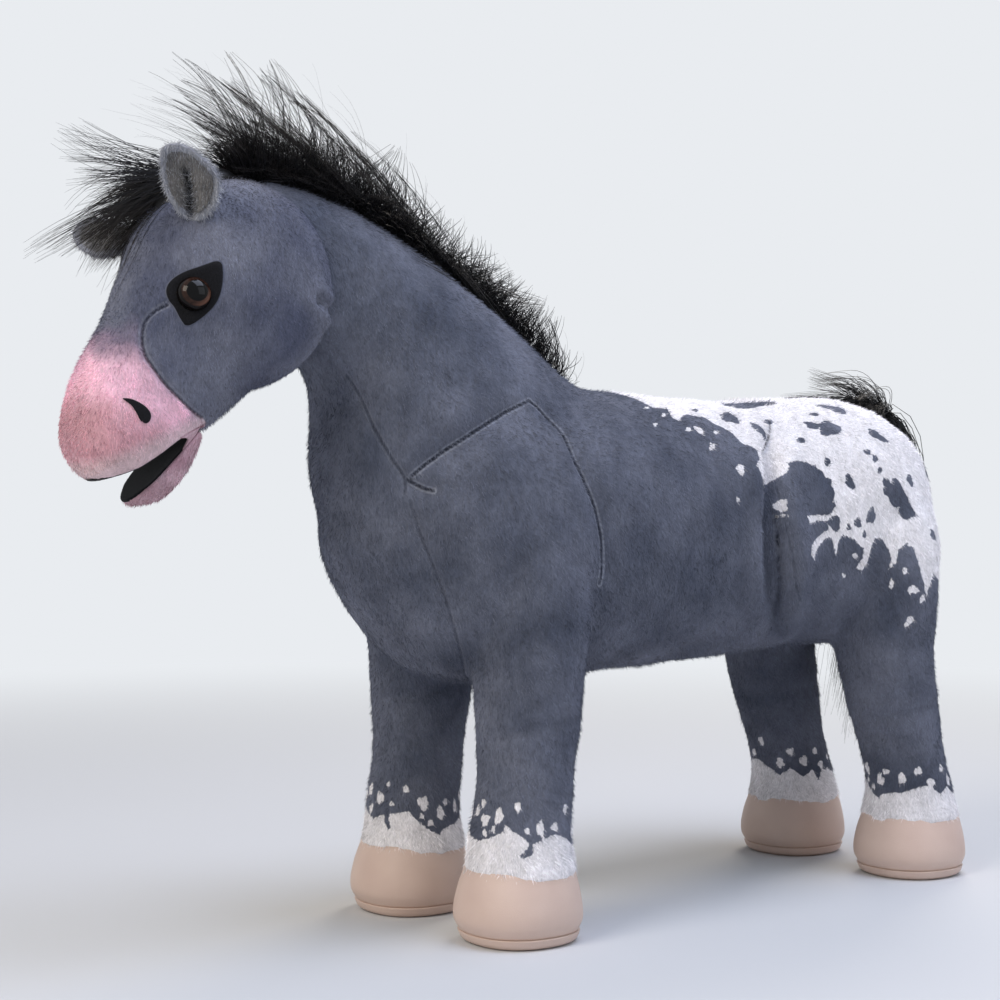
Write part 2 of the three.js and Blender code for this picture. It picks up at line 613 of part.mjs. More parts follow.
// Mane: hair sewn into the crest seam, from the withers to the poll
const crestLine = new THREE.CatmullRomCurve3(
  neckShares.slice(1).map(([ahead, rise]) => sideView(...neckPoint(ahead, rise))), false, 'centripetal');
const maneShares = [          // along the crest, height, width
  [0, 0.16, 0.4], [0.15, 0.42, 0.8], [0.4, 0.62, 1], [0.65, 0.82, 1], [0.85, 0.97, 1], [1, 1, 0.9],
];
const mane = stuffed(maneShares.map(([along, height, width]) => {
  const spot = crestLine.getPoint(along);
  const tangent = crestLine.getTangent(along);
  const outward = sideView(tangent.z, -tangent.y);
  return { top: from(spot, [outward, maneHeight * height]).toArray().slice(1),
    bottom: from(spot, [outward, -maneRoot]).toArray().slice(1), half: (maneWidth / 2) * width };
}), { rings: 10, sides: 12, square: 2, widest: 0.35, startRound: 0.1 });
const radial = (angle) => sideView(Math.sin(angle), Math.cos(angle));
const ahead = (angle) => sideView(-Math.cos(angle), Math.sin(angle));
const hairFront = beyond(headMiddle, ahead(hairParting));
const crestCut = neck(seam).add(trunkCut);
const socket = cheeks(turning(headRadius, cheekSides));
piece('mane', cut(mane, crestCut, socket, hairFront), ...hair);
piece('neck', cut(neck(0), trunkCut, socket,
  cut(hairFront, beyond(headMiddle, radial(hairParting).negate())), ...channels), ...plush);

// Forelock: hair sewn to the poll between the ears, blown forward over the brow
const forelockShares = [      // top ahead and up, underside ahead and up, width
  [-0.05, 1, -0.05, -0.2, 0.8], [0.28, 0.9, 0.22, -0.4, 1], [0.6, 0.42, 0.5, -0.66, 0.86],
  [0.9, -0.12, 0.8, -0.6, 0.5], [1, -0.32, 0.97, -0.56, 0.25],
];
const poll = sideView(headY, headZ + headRadius);
const forelockPoint = (forward, rise) => [poll.y - forelockReach * forward,
  poll.z + forelockHeight * rise];
const forelock = stuffed(forelockShares.map(([topAhead, topUp, lowAhead, lowUp, width]) => ({
  top: forelockPoint(topAhead, topUp), bottom: forelockPoint(lowAhead, lowUp),
  half: (forelockWidth / 2) * width,
})), { rings: 7, sides: 14, square: 2, endRound: 0.2 });
const behindPoll = beyond(headMiddle, sideView(1, 0));
const earClear = ears.map((ear) => earRoot(ear, earRootRadius));
piece('forelock', cut(forelock, grownSkull(seam), behindPoll, ...earClear), ...hair);

// Tail: a plush dock that tips on the rump, and the hair that swings from its end
const dockAim = sideView(0.42, 0.9).normalize();
const dockInside = sideView(rumpY - rumpReach, withersHeight - trunkDepth / 2);
const rumpSkin = surfacePoint(trunk(0), dockInside, sideView(0.3, 1));
const dockRoot = from(rumpSkin, [dockAim, -dockRootRadius / 3]);
const dockTip = from(dockRoot, [dockAim, dockLength]);
const dock = ball(dockRootRadius, dockRoot).add(ball(dockTipRadius, dockTip))
  .add(rod(dockRadius, 0, dockLength, dockRoot, dockAim));
const tailShares = [          // outer face behind and below the dock tip, inner face, width
  [-0.6, -0.075, -0.25, 0.01, 0.5], [0.35, -0.09, 0.2, 0, 0.7], [1, -0.03, 0.45, 0.03, 0.9],
  [1.3, 0.1, 0.6, 0.13, 1], [1.35, 0.34, 0.6, 0.34, 1], [1.2, 0.62, 0.3, 0.62, 1],
  [1, 0.86, 0.05, 0.86, 0.9], [0.8, 1, 0.2, 1, 0.5],
];
const tailPoint = (behind, drop) => [dockTip.y + tailThickness * behind, dockTip.z - tailDrop * drop];
const tailHair = stuffed(tailShares.map(([outBehind, outDrop, inBehind, inDrop, width]) => ({
  top: tailPoint(outBehind, outDrop), bottom: tailPoint(inBehind, inDrop),
  half: (tailWidth / 2) * width,
})), { rings: 12, sides: 14, square: 2, startRound: 0.1, endRound: 0.12 });
const underTip = beyond(from(dockTip, [dockAim, dockTipRadius / 4]), dockAim.clone().negate());
const underTipSlab = cut(underTip,
  beyond(from(dockTip, [dockAim, -dockLength]), dockAim.clone().negate()),
  beyond(from(dockTip, [sideView(1, 0), dockTipRadius * 1.6]), sideView(1, 0)));
piece('tail_dock', dock, ...plush);
piece('tail_hair', cut(tailHair, ballSocket(dockTipRadius, dockTip), underTipSlab,
  trunk(tailClearance)), ...hair);
const liftShares = [0.25, 0.5, 0.75, 1];
const liftRoom = liftShares.map((share) => rod(turning(dockRadius, rodSides) + dockRadius, 0,
  dockLength, dockRoot, dockAim.clone().applyAxisAngle(across, tailLift * share)));
piece('torso', cut(trunk(0), ballSocket(dockRootRadius, dockRoot), ...liftRoom, ...bindingCuts,
  ...channels), ...plush);

const bounds = new THREE.Box3().setFromObject(horse);
horse.position.y = -(bounds.min.y + bounds.max.y) / 2;
horse.position.z = -bounds.min.z;
horse.updateMatrixWorld(true);

export default horse;
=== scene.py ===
import json
import math

import bmesh
import bpy
import numpy as np
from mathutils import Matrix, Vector
from mathutils.bvhtree import BVHTree

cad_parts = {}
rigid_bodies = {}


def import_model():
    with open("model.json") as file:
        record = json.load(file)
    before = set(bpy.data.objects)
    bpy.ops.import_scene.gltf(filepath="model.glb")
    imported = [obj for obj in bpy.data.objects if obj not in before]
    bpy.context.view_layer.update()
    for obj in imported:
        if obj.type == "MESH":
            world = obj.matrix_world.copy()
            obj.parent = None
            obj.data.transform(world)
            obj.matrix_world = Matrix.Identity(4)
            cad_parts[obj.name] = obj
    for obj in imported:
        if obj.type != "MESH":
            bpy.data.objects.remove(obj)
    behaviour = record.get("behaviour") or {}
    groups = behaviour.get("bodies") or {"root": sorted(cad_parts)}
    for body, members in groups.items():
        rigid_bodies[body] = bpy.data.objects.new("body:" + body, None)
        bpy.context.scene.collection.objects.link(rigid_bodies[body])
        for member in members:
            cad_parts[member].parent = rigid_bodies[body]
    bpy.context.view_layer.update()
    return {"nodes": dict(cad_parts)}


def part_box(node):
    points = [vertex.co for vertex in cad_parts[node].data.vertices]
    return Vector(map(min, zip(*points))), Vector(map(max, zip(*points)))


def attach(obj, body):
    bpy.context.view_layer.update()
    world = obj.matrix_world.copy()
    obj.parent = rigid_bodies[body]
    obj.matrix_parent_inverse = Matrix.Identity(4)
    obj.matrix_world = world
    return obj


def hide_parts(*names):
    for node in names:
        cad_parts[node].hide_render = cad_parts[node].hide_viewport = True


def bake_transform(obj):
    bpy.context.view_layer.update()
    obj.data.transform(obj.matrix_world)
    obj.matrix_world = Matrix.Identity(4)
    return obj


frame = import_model()

# Camera
# A level camera at the height of the horse's elbow, ahead of its left shoulder, with a long lens.
SENSOR = 36          # mm wide
FOCUS = 1.880        # focal length, of the sensor's width
camera = bpy.data.objects.new("camera", bpy.data.cameras.new("camera"))
bpy.context.scene.collection.objects.link(camera)
bpy.context.scene.camera = camera
camera.location = (1.216, -0.97487, 0.3275)
camera.rotation_euler = (math.radians(90), 0, math.radians(53))
camera.data.sensor_width = SENSOR
camera.data.lens = FOCUS * SENSOR
camera.data.shift_y = 0.012
camera.data.clip_start = 0.05
camera.data.clip_end = 60


# Floor and light
# A pale studio floor and world. The world gives the horse a weak even light, and the camera sees it
# pale, as it does the far floor.
PALE = "e9ecf0"


def linear(code):
    """A written colour such as "52566a" as linear light."""
    parts = [int(code[i : i + 2], 16) / 255 for i in (0, 2, 4)]
    return [c / 12.92 if c <= 0.04045 else ((c + 0.055) / 1.055) ** 2.4 for c in parts] + [1]


def add(tree, kind, inputs=None, **settings):
    """One node with its settings. An input is a node or socket to link, a value or a written colour."""
    made = tree.nodes.new(kind)
    for key, value in settings.items():
        setattr(made, key, value)
    for key, value in (inputs or {}).items():
        socket = made.inputs[key]
        if isinstance(value, bpy.types.Node):
            value = value.outputs[0]
        if isinstance(value, bpy.types.NodeSocket):
            tree.links.new(value, socket)
        elif socket.type == "RGBA":
            socket.default_value = linear(value)
        else:
            socket.default_value = value
    return made


def new_material(name):
    """An empty material that uses nodes, and its tree."""
    made = bpy.data.materials.new(name)
    made.use_nodes = True
    made.node_tree.nodes.clear()
    return made, made.node_tree


world = bpy.data.worlds.new("studio")
bpy.context.scene.world = world
world.use_nodes = True
tree = world.node_tree
tree.nodes.clear()
path = add(tree, "ShaderNodeLightPath")
seen = path.outputs["Is Camera Ray"]
for ray in ("Is Glossy Ray", "Is Transmission Ray"):
    seen = add(tree, "ShaderNodeMath", {0: seen, 1: path.outputs[ray]}, operation="MAXIMUM")
lights = add(tree, "ShaderNodeBackground", {"Color": "f2f4f8", "Strength": 0.3})
shows = add(tree, "ShaderNodeBackground", {"Color": PALE, "Strength": 1.0})
both = add(tree, "ShaderNodeMixShader", {0: seen, 1: lights, 2: shows})
add(tree, "ShaderNodeOutputWorld", {"Surface": both})

# Matt wall paint: no gloss, so that only shadows show. It fades into the world's tone from 0.7 to 2.6 m.
FLOOR_REACH = 9
corners = [(x * FLOOR_REACH, y * FLOOR_REACH, 0) for x, y in ((-1, -1), (1, -1), (1, 1), (-1, 1))]
floor_mesh = bpy.data.meshes.new("floor")
floor_mesh.from_pydata(corners, [], [(0, 1, 2, 3)])
floor = bpy.data.objects.new("floor", floor_mesh)
bpy.context.scene.collection.objects.link(floor)
painted, tree = new_material("painted_studio_floor")
paint = add(tree, "ShaderNodeBsdfPrincipled", {"Base Color": "cfd1d4", "Roughness": 0.95})
place = add(tree, "ShaderNodeTexCoord").outputs["Object"]
away = add(tree, "ShaderNodeVectorMath", {0: place}, operation="LENGTH").outputs["Value"]
away = add(tree, "ShaderNodeMapRange", {"Value": away, "From Min": 0.7, "From Max": 2.6},
           interpolation_type="SMOOTHSTEP")
haze = add(tree, "ShaderNodeEmission", {"Color": PALE, "Strength": 1.0})
ground = add(tree, "ShaderNodeMixShader", {0: away, 1: paint, 2: haze})
add(tree, "ShaderNodeOutputMaterial", {"Surface": ground})
floor_mesh.materials.append(painted)


def lamp(name, place, aim, size, power, colour):
    """A square soft lamp: its place, what it is aimed at and its width in metres, and its watts."""
    light = bpy.data.lights.new(name, "AREA")
    light.size = size
    light.energy = power
    light.color = linear(colour)[:3]
    made = bpy.data.objects.new(name, light)
    bpy.context.scene.collection.objects.link(made)
    made.location = place
    made.rotation_euler = (Vector(aim) - Vector(place)).to_track_quat("-Z", "Y").to_euler()


# A warm key lamp high on the camera's left, a weak fill, a rim lamp from behind, a cool one overhead
lamp("key_lamp", (0.5, -2.6, 2.0), (0, -0.05, 0.3), 1.4, 48, "fff7ea")
lamp("fill_lamp", (2.4, 0.9, 1.6), (0, 0.1, 0.3), 1.8, 13, "eef4ff")
lamp("rim_lamp", (-1.2, 1.9, 2.2), (0, 0.1, 0.35), 1.0, 28, "fff3e4")
lamp("top_lamp", (0.7, 0.3, 2.5), (0, 0.05, 0.4), 1.5, 42, "dbe5ff")
bpy.context.scene.view_settings.view_transform = "Standard"

# Body plush
# Printed short-pile plush, sewn in panels and filled firm: barrel, chest, neck and four legs are
# one skin. The panels meet in sunk seams, and the filling pulls at them.
MM = 0.001
TRUNK = [  # stations, in mm: y and z at the top, y and z at the bottom, half width
    (-216.4, 370.2, -216.4, 261.1, 81.4), (-144.8, 424, -144.8, 205.5, 104.5),
    (-85.6, 430.5, -85.6, 191.5, 110), (29.7, 428.3, 29.7, 196.2, 104.5),
    (157.4, 424, 157.4, 202, 96.8), (238.4, 428.3, 238.4, 207.8, 105.6),
    (306.9, 430.5, 306.9, 208.9, 109), (357.9, 415.4, 357.9, 227.5, 99.5),
    (400.6, 374.5, 400.6, 261.1, 81),
]
NECK = [
    (20.4, 424.9, -209.5, 299.4, 88), (-17.4, 440.4, -221.1, 344.5, 85.8),
    (-59.3, 470.5, -222.6, 371.3, 79.2), (-108.5, 503.5, -222.6, 399.5, 69.5),
    (-156.5, 531.5, -224.6, 417.8, 59.8), (-202.5, 554.4, -236.5, 435.4, 51.9),
    (-246.4, 566.6, -260.4, 454.5, 46.6), (-289.5, 571.5, -295.3, 474.2, 44),
]
FRONT_LEG = [
    (-50, 48, -139, 48, 44.5), (-53, 60, -135.6, 60, 41.6), (-55.6, 78, -133.2, 78, 38.9),
    (-53.9, 110, -127.4, 110, 36.8), (-48.7, 148.8, -125.2, 148.8, 38.3),
    (-41.5, 199.9, -129.3, 199.9, 41.3), (-35.9, 258.2, -134.9, 258.2, 44.3),
    (-34.4, 299.5, -136.4, 299.5, 44), (-36, 322, -134, 322, 39), (-43, 343, -127, 343, 28),
    (-54, 356, -116, 356, 14),
]
HIND_LEG = [
    (397.5, 48, 309.5, 48, 44.5), (394.5, 60, 312.6, 60, 41.6), (389.4, 78, 314.4, 78, 38.2),
    (380.1, 110, 306.6, 110, 36.8), (372.6, 148.8, 291.6, 148.8, 38.3),
    (365.1, 199.9, 275.1, 199.9, 41.3), (369.6, 258.2, 264.6, 258.2, 45),
    (372.6, 294, 261.6, 294, 44), (371, 320, 264, 320, 40), (364, 343, 272, 343, 30),
    (352, 358, 284, 358, 16),
]
LEG_X = 73           # mm, from the middle plane to a leg's axis


def through(points, t):
    """A point on the smooth curve through some points, evenly by their count."""
    count = len(points) - 1
    at = min(int(t * count), count - 1)
    share = t * count - at
    before = points[at - 1] if at else 2 * points[0] - points[1]
    after = points[at + 2] if at + 2 <= count else 2 * points[-1] - points[-2]
    p = [before, points[at], points[at + 1], after]
    d = [max(np.linalg.norm(p[k + 1] - p[k]) ** 0.5, 1e-6) for k in range(3)]
    start = ((p[1] - p[0]) / d[0] - (p[2] - p[0]) / (d[0] + d[1]) + (p[2] - p[1]) / d[1]) * d[1]
    end = ((p[2] - p[1]) / d[1] - (p[3] - p[1]) / (d[1] + d[2]) + (p[3] - p[2]) / d[2]) * d[1]
    square = -3 * p[1] + 3 * p[2] - 2 * start - end
    cube = 2 * p[1] - 2 * p[2] + start + end
    return p[1] + start * share + square * share**2 + cube * share**3


def stuffed(stations, x=0.0, rings=40, sides=56, square=2.3, widest=0.5, start_round=0.0, end_round=0.0):
    """A filled form through stations in the side view: its corners in millimetres, and its faces.

    square is 2 for an oval section and more for a boxier one; widest is where it is widest, of its
    height; start_round and end_round are the shares of its length over which its ends close roundly.
    """
    table = np.array(stations, float)
    tops, bottoms = table[:, 0:2], table[:, 2:4]
    halves = np.column_stack([table[:, 4], np.arange(len(table))])
    swing = 1 - np.cos(np.linspace(0, math.pi / 2, 11))    # rings crowd towards a round end
    places = list(start_round * swing[1:]) if start_round else [0.0]
    places += list(np.linspace(start_round, 1 - end_round, rings)[1:-1])
    places += list(1 - end_round * swing[:0:-1]) if end_round else [1.0]
    angles = np.linspace(0, 2 * math.pi, sides, endpoint=False)
    rise = np.sign(np.sin(angles)) * np.abs(np.sin(angles)) ** (2 / square)
    out = np.sign(np.cos(angles)) * np.abs(np.cos(angles)) ** (2 / square)
    corners = []
    for t in places:
        top, bottom = through(tops, t), through(bottoms, t)
        middle = bottom + (top - bottom) * widest
        start = min(1, t / start_round) if start_round else 1
        end = min(1, (1 - t) / end_round) if end_round else 1
        fill = math.sqrt((1 - (1 - start) ** 2) * (1 - (1 - end) ** 2))
        reach = np.where(rise[:, None] > 0, top - middle, bottom - middle) * np.abs(rise)[:, None]
        ring = np.column_stack([out * through(halves, t)[0] * fill, reach * fill + middle])
        corners.append(ring)
    ends = []
    for t in (0, 1):
        top, bottom = through(tops, t), through(bottoms, t)
        ends.append([0, *(bottom + (top - bottom) * widest)])
    corners = np.vstack([*corners, ends]) + np.array([x, 0, 0])
    faces = []
    last = (len(places) - 1) * sides
    for j in range(sides):
        k = (j + 1) % sides
        faces += [(r + j, r + k, r + sides + k, r + sides + j) for r in range(0, last, sides)]
        faces += [(last + sides, k, j), (last + sides + 1, last + j, last + k)]
    return corners, faces


def new_object(name, corners, faces):
    """A mesh object from corners in millimetres, its faces pointing out."""
    mesh = bpy.data.meshes.new(name)
    mesh.from_pydata((np.asarray(corners, float) * MM).tolist(), [], [tuple(f) for f in faces])
    work = bmesh.new()
    work.from_mesh(mesh)
    bmesh.ops.recalc_face_normals(work, faces=work.faces)
    work.to_mesh(mesh)
    work.free()
    made = bpy.data.objects.new(name, mesh)
    bpy.context.scene.collection.objects.link(made)
    return made


def baked(obj):
    """Replaces an object's mesh by what its modifiers make of it."""
    bpy.context.view_layer.update()
    graph = bpy.context.evaluated_depsgraph_get()
    mesh = bpy.data.meshes.new_from_object(obj.evaluated_get(graph), depsgraph=graph)
    obj.modifiers.clear()
    old = obj.data
    obj.data = mesh
    bpy.data.meshes.remove(old)
    obj.data.name = obj.name
    return obj


def fused(name, forms, voxel, smoothing):
    """One skin over several closed forms, with the joins between them rounded, and only its outside."""
    corners, faces = [], []
    for points, own in forms:
        faces += [tuple(i + len(corners) for i in face) for face in own]
        corners += list(points)
    made = new_object(name, corners, faces)
    remesh = made.modifiers.new("skin", "REMESH")
    remesh.mode = "VOXEL"
    remesh.voxel_size = voxel * MM
    smooth = made.modifiers.new("soft_joins", "SMOOTH")
    smooth.factor = 0.5
    smooth.iterations = smoothing
    baked(made)
    work = bmesh.new()
    work.from_mesh(made.data)
    islands = []
    left = set(work.verts)
    while left:
        found, queue = set(), [next(iter(left))]
        while queue:
            corner = queue.pop()
            if corner in found:
                continue
            found.add(corner)
            queue += [e.other_vert(corner) for e in corner.link_edges]
        islands.append(found)
        left -= found
    for island in sorted(islands, key=len)[:-1]:
        bmesh.ops.delete(work, geom=list(island), context="VERTS")
    work.to_mesh(made.data)
    work.free()
    return made


def places_of(obj):
    """Corners and their outward directions, in millimetres."""
    mesh = obj.data
    spots = np.zeros(len(mesh.vertices) * 3, np.float32)
    mesh.vertices.foreach_get("co", spots)
    aims = np.zeros(len(mesh.vertices) * 3, np.float32)
    mesh.vertex_normals.foreach_get("vector", aims)
    return spots.reshape(-1, 3).astype(float) / MM, aims.reshape(-1, 3).astype(float)


def set_places(obj, spots):
    """Moves an object's corners to places in millimetres."""
    obj.data.vertices.foreach_set("co", (spots * MM).astype(np.float32).ravel())
    obj.data.update()


def distance_to(spots, line):
    """Each spot's distance to a line of points, and how far along the line it is, from 0 to 1."""
    line = np.asarray(line, float)
    best = np.full(len(spots), 1e9)
    where = np.zeros(len(spots))
    for k in range(len(line) - 1):
        a, d = line[k], line[k + 1] - line[k]
        share = np.clip(((spots - a) @ d) / (d @ d), 0, 1)
        gap = np.linalg.norm(spots - a - share[:, None] * d, axis=1)
        closer = gap < best
        best[closer] = gap[closer]
        where[closer] = (k + share[closer]) / (len(line) - 1)
    return best, where


body = fused("body_plush", [
    stuffed(TRUNK, start_round=0.17, end_round=0.17, square=2.35),
    stuffed(NECK, widest=0.46, square=2.2),
    *[stuffed(FRONT_LEG, side * LEG_X, square=2.1) for side in (1, -1)],
    *[stuffed(HIND_LEG, side * LEG_X, square=2.1) for side in (1, -1)],
], voxel=4.2, smoothing=8)

# Seams, by their course on the left side: points, depth and width of the dent that the filling leaves,
# and depth of the crease at the stitches, all in mm
SEAMS = {
    "shoulder_front": ([(79.6, -89.8, 413.3), (82.7, -116.1, 402.4), (83.4, -140.1, 390.4),
                        (79.8, -165.1, 375), (70.8, -181.5, 362.3), (62.7, -192, 351.2)], 3.6, 8, 2.2),
    "shoulder_dart": ([(62.7, -192, 351.2), (69, -182.9, 345.3), (76.3, -171.7, 342.3)], 3.2, 6, 2.2),
    "shoulder_back": ([(79.6, -89.8, 413.3), (84.4, -69, 394.6), (99.5, -61.5, 367.4),
                       (105.7, -51.8, 344.4), (107.7, -43.4, 321.3), (106.6, -39.5, 290.5),
                       (103.7, -42.1, 267.4)], 3.2, 8, 2),
    "neck_front": ([(28.8, -224.7, 429.5), (36.6, -216.5, 410.8), (46.3, -209.6, 388.3),
                    (55.2, -202.1, 369.7), (61.6, -193, 351.2), (58.9, -192.1, 336.4)], 1.2, 8, 1.6),
    "chest": ([(61.9, -188.8, 336.4), (67, -185.1, 314.2), (71.6, -177.5, 291.9),
               (72.3, -164.3, 261.9), (57.5, -139.9, 222.7), (21.3, -104.2, 195.4)], 1.6, 10, 1.6),
    "flank": ([(62.1, 186, 406.8), (83.6, 165.6, 380), (92.2, 158, 354.4), (96.2, 155.2, 320.8),
               (94.6, 158.1, 287.2), (86.1, 167.8, 253.1), (66.6, 188.7, 225.9)], 15, 8.5, 6),
    "flank_panel": ([(92.2, 158, 354.4), (95.3, 164.5, 337.6), (97.8, 170.2, 312.4), (96.2, 179, 286.9),
                     (87.2, 193.1, 252.4)], 0.6, 5, 1.0),
}
spots, aims = places_of(body)
half = np.column_stack([np.abs(spots[:, 0]), spots[:, 1:]])
sink = np.zeros(len(spots))
for name, (line, depth, width, crease) in SEAMS.items():
    gap, share = distance_to(half, line)
    ends = np.clip(np.minimum(share, 1 - share) * 5, 0.2, 1)
    if name == "flank":
        ends = ends * np.clip(0.2 + 2.4 * share, 0, 1)
    dent = np.exp(-((gap / width) ** 2)) - 0.3 * np.exp(-(((gap - 2.4 * width) / (1.5 * width)) ** 2))
    sink += depth * ends * dent
# The thigh swells behind the fold at the flank, and the belly ahead of it is drawn in
FOLD_Y, FOLD_Z = 158, 320    # mm, the middle of the fold
THIGH_SWELL, BELLY_DRAW = 10, 4    # mm
gap, _ = distance_to(half, SEAMS["flank"][0])
behind = half[:, 1] - FOLD_Y - np.abs(half[:, 2] - FOLD_Z) * 0.18
within = np.clip((350 - half[:, 2]) / 60, 0, 1) * np.clip((half[:, 2] - 205) / 40, 0, 1)
fold = np.exp(-((gap / 40) ** 2)) * within
sink -= THIGH_SWELL * fold * np.clip(behind / 22, 0, 1) * np.exp(-(((behind - 26) / 24) ** 2))
sink += BELLY_DRAW * fold * np.clip(-behind / 14, 0, 1)
# Creases where the filling gives at the knees and elbows: side, the leg's middle along the horse,
# height, then the turn it faces and its reach round the leg in radians, and its depth
FRONT_MIDDLE, HIND_MIDDLE = -94, 345
CREASES = [
    (1, FRONT_MIDDLE, 162, -0.5, 1.1, 2.0), (1, FRONT_MIDDLE, 143, -0.9, 1.0, 1.7),
    (-1, FRONT_MIDDLE, 180, -0.6, 1.2, 2.0), (-1, FRONT_MIDDLE, 143, -0.3, 1.1, 1.8),
    (1, HIND_MIDDLE, 150, -0.6, 1.2, 1.8), (-1, HIND_MIDDLE, 158, -0.6, 1.2, 1.8),
    (1, HIND_MIDDLE, 128, -1.2, 1.0, 1.5), (1, FRONT_MIDDLE, 205, -1.0, 0.9, 1.5),
]
for side, middle_y, height, facing, reach, depth in CREASES:
    turn = np.arctan2(spots[:, 1] - middle_y, spots[:, 0] - side * LEG_X)
    swing = np.arctan2(np.sin(turn - facing), np.cos(turn - facing))
    off = spots[:, 2] - height - 7 * swing * (1 if facing > -0.7 else -1)
    near = (np.abs(spots[:, 1] - middle_y) < 75) & (spots[:, 0] * side > 0)
    fades = near * depth * np.exp(-((swing / reach) ** 2))
    sink += fades * (np.exp(-((off / 3.6) ** 2)) - 0.4 * np.exp(-(((off - 9) / 6) ** 2)))
# Hand filling leaves the surface a little uneven, but not at the hem, which the hoof holds round
wave = np.sin(spots @ [0.043, 0.031, 0.052] + 1.3) * np.sin(spots @ [-0.035, 0.047, 0.038]) * 0.9
wave += np.sin(spots @ [0.09, -0.07, 0.11]) * np.sin(spots @ [0.06, 0.1, -0.08] + 2) * 0.35
sink += wave * np.clip((spots[:, 2] - 62) / 30, 0, 1)
spots = spots - aims * sink[:, None]
set_places(body, spots)
refine = body.modifiers.new("finer", "SUBSURF")
refine.levels = refine.render_levels = 1
baked(body)
spots, aims = places_of(body)
half = np.column_stack([np.abs(spots[:, 0]), spots[:, 1:]])


def skin_of(obj):
    """An object's surface, to look for places on."""
    return BVHTree.FromObject(obj, bpy.context.evaluated_depsgraph_get())


body_skin = skin_of(body)


def on_skin(line, tree, spacing=2.0):
    """A line of points laid onto a skin, evenly spaced, in millimetres."""
    line = np.asarray(line, float)
    laid = []
    for k in range(len(line) - 1):
        steps = max(2, int(np.linalg.norm(line[k + 1] - line[k]) / spacing))
        for j in range(steps):
            spot = through(line, (k + j / steps) / (len(line) - 1))
            hit = tree.find_nearest(Vector(spot) * MM)[0]
            laid.append(np.array(hit) / MM)
    return np.array(laid)


seam_lines = {name: on_skin(values[0], body_skin, 4) for name, values in SEAMS.items()}
# How plainly each seam's painted shade and painted highlight show, of 1
SEAM_SHOWS = {"chest": 0.3, "neck_front": 0.5, "flank": 0.95, "flank_panel": 0.3}    # how plainly, of 1
FAR_OFF = 20         # mm, as far as a skin's distance to its seams is told
near_seam = np.full(len(spots), float(FAR_OFF))
course = np.zeros(len(spots))
plain = np.zeros(len(spots))
sink = np.zeros(len(spots))
for name, (line, depth, width, crease) in SEAMS.items():
    laid = seam_lines[name]
    low, high = laid.min(0) - FAR_OFF - 2, laid.max(0) + FAR_OFF + 2
    near = ((half > low) & (half < high)).all(1)
    gap, share = distance_to(half[near], laid)
    length = np.linalg.norm(np.diff(laid, axis=0), axis=1).sum()
    nearer = gap < near_seam[near]
    near_seam[near] = np.where(nearer, gap, near_seam[near])
    course[near] = np.where(nearer, share * length, course[near])
    # The deep fold at the flank gets its full painted shade in its upper part, fading out lower down
    shown = SEAM_SHOWS.get(name, 1) * (np.clip(2 - share * 2.4, 0, 1) if name == "flank" else 1)
    plain[near] = np.where(nearer, shown, plain[near])
    ends = np.clip(np.minimum(share, 1 - share) * 8, 0.3, 1)
    sink[near] += 0.8 * crease * ends * np.exp(-((gap / 1.9) ** 2))
spots = spots - aims * sink[:, None]
set_places(body, spots)
body_skin = skin_of(body)


def mark(obj, key, values):
    """Gives each corner of an object a number, for its material or its pile to read."""
    made = obj.data.attributes.new(key, "FLOAT", "POINT")
    made.data.foreach_set("value", np.asarray(values, np.float32))


for key, value in (("seam", near_seam), ("course", course), ("plain", plain)):
    mark(body, key, value)

# Printed blanket over the rump, unrolled round the back: along the horse and down its side, in mm
BLANKET = [
    (40, -40), (38, 30), (53.3, 62.1), (63.6, 62.8), (70.1, 62.7), (65.9, 74), (72.4, 78.4), (80.7, 70.4),
    (88.7, 67.1), (107.5, 68.6), (116.7, 76.9), (123.5, 80.7), (129.2, 86.6), (133, 96.1), (135.6, 99.6),
    (142.2, 102), (145.5, 107), (146.7, 114.2), (142, 118.1), (138.4, 121.9), (143.7, 131.1), (150.1, 136.6),
    (157.8, 134.5), (165, 130.9), (174.7, 127.8), (177.6, 121.9), (176.5, 118.5), (185.8, 117.5),
    (198.6, 117.7), (202.6, 121.7), (207.4, 119.6), (209.7, 125.8), (214.5, 127), (214.8, 132.6),
    (222.5, 134.8), (220.5, 141.6), (223.6, 146.8), (220.2, 157.3), (224.5, 155.6), (222, 160.8),
    (219.5, 165.3), (214.1, 167.6), (202.9, 167.2), (190.1, 168.5), (192.9, 176.4), (202.7, 172.7),
    (213.9, 172.7), (215.9, 180.2), (204.4, 186.5), (194.2, 194), (190.9, 201.6), (197, 205.9), (200.7, 198),
    (211.4, 189), (218.6, 187.2), (221.4, 195.9), (224.9, 204.8), (226.8, 192.4), (229.9, 185), (237.5, 187),
    (245.3, 190.4), (256, 197.2), (255.8, 206.4), (250.4, 214.8), (257.8, 217.4), (262.8, 208.8),
    (264.8, 195.4), (267.5, 188.6), (276.5, 187.7), (282.8, 196.7), (285.9, 205), (283.8, 213.7),
    (289.8, 206.7), (292.8, 196.4), (305, 188.7), (301.5, 193.7), (307.4, 194.4), (311.1, 204),
    (313.5, 212.3), (316.1, 220.5), (317.6, 229.7), (330, 215), (350, 226), (372, 212), (395, 224),
    (420, 218), (450, 226), (520, 215), (520, -40),
]
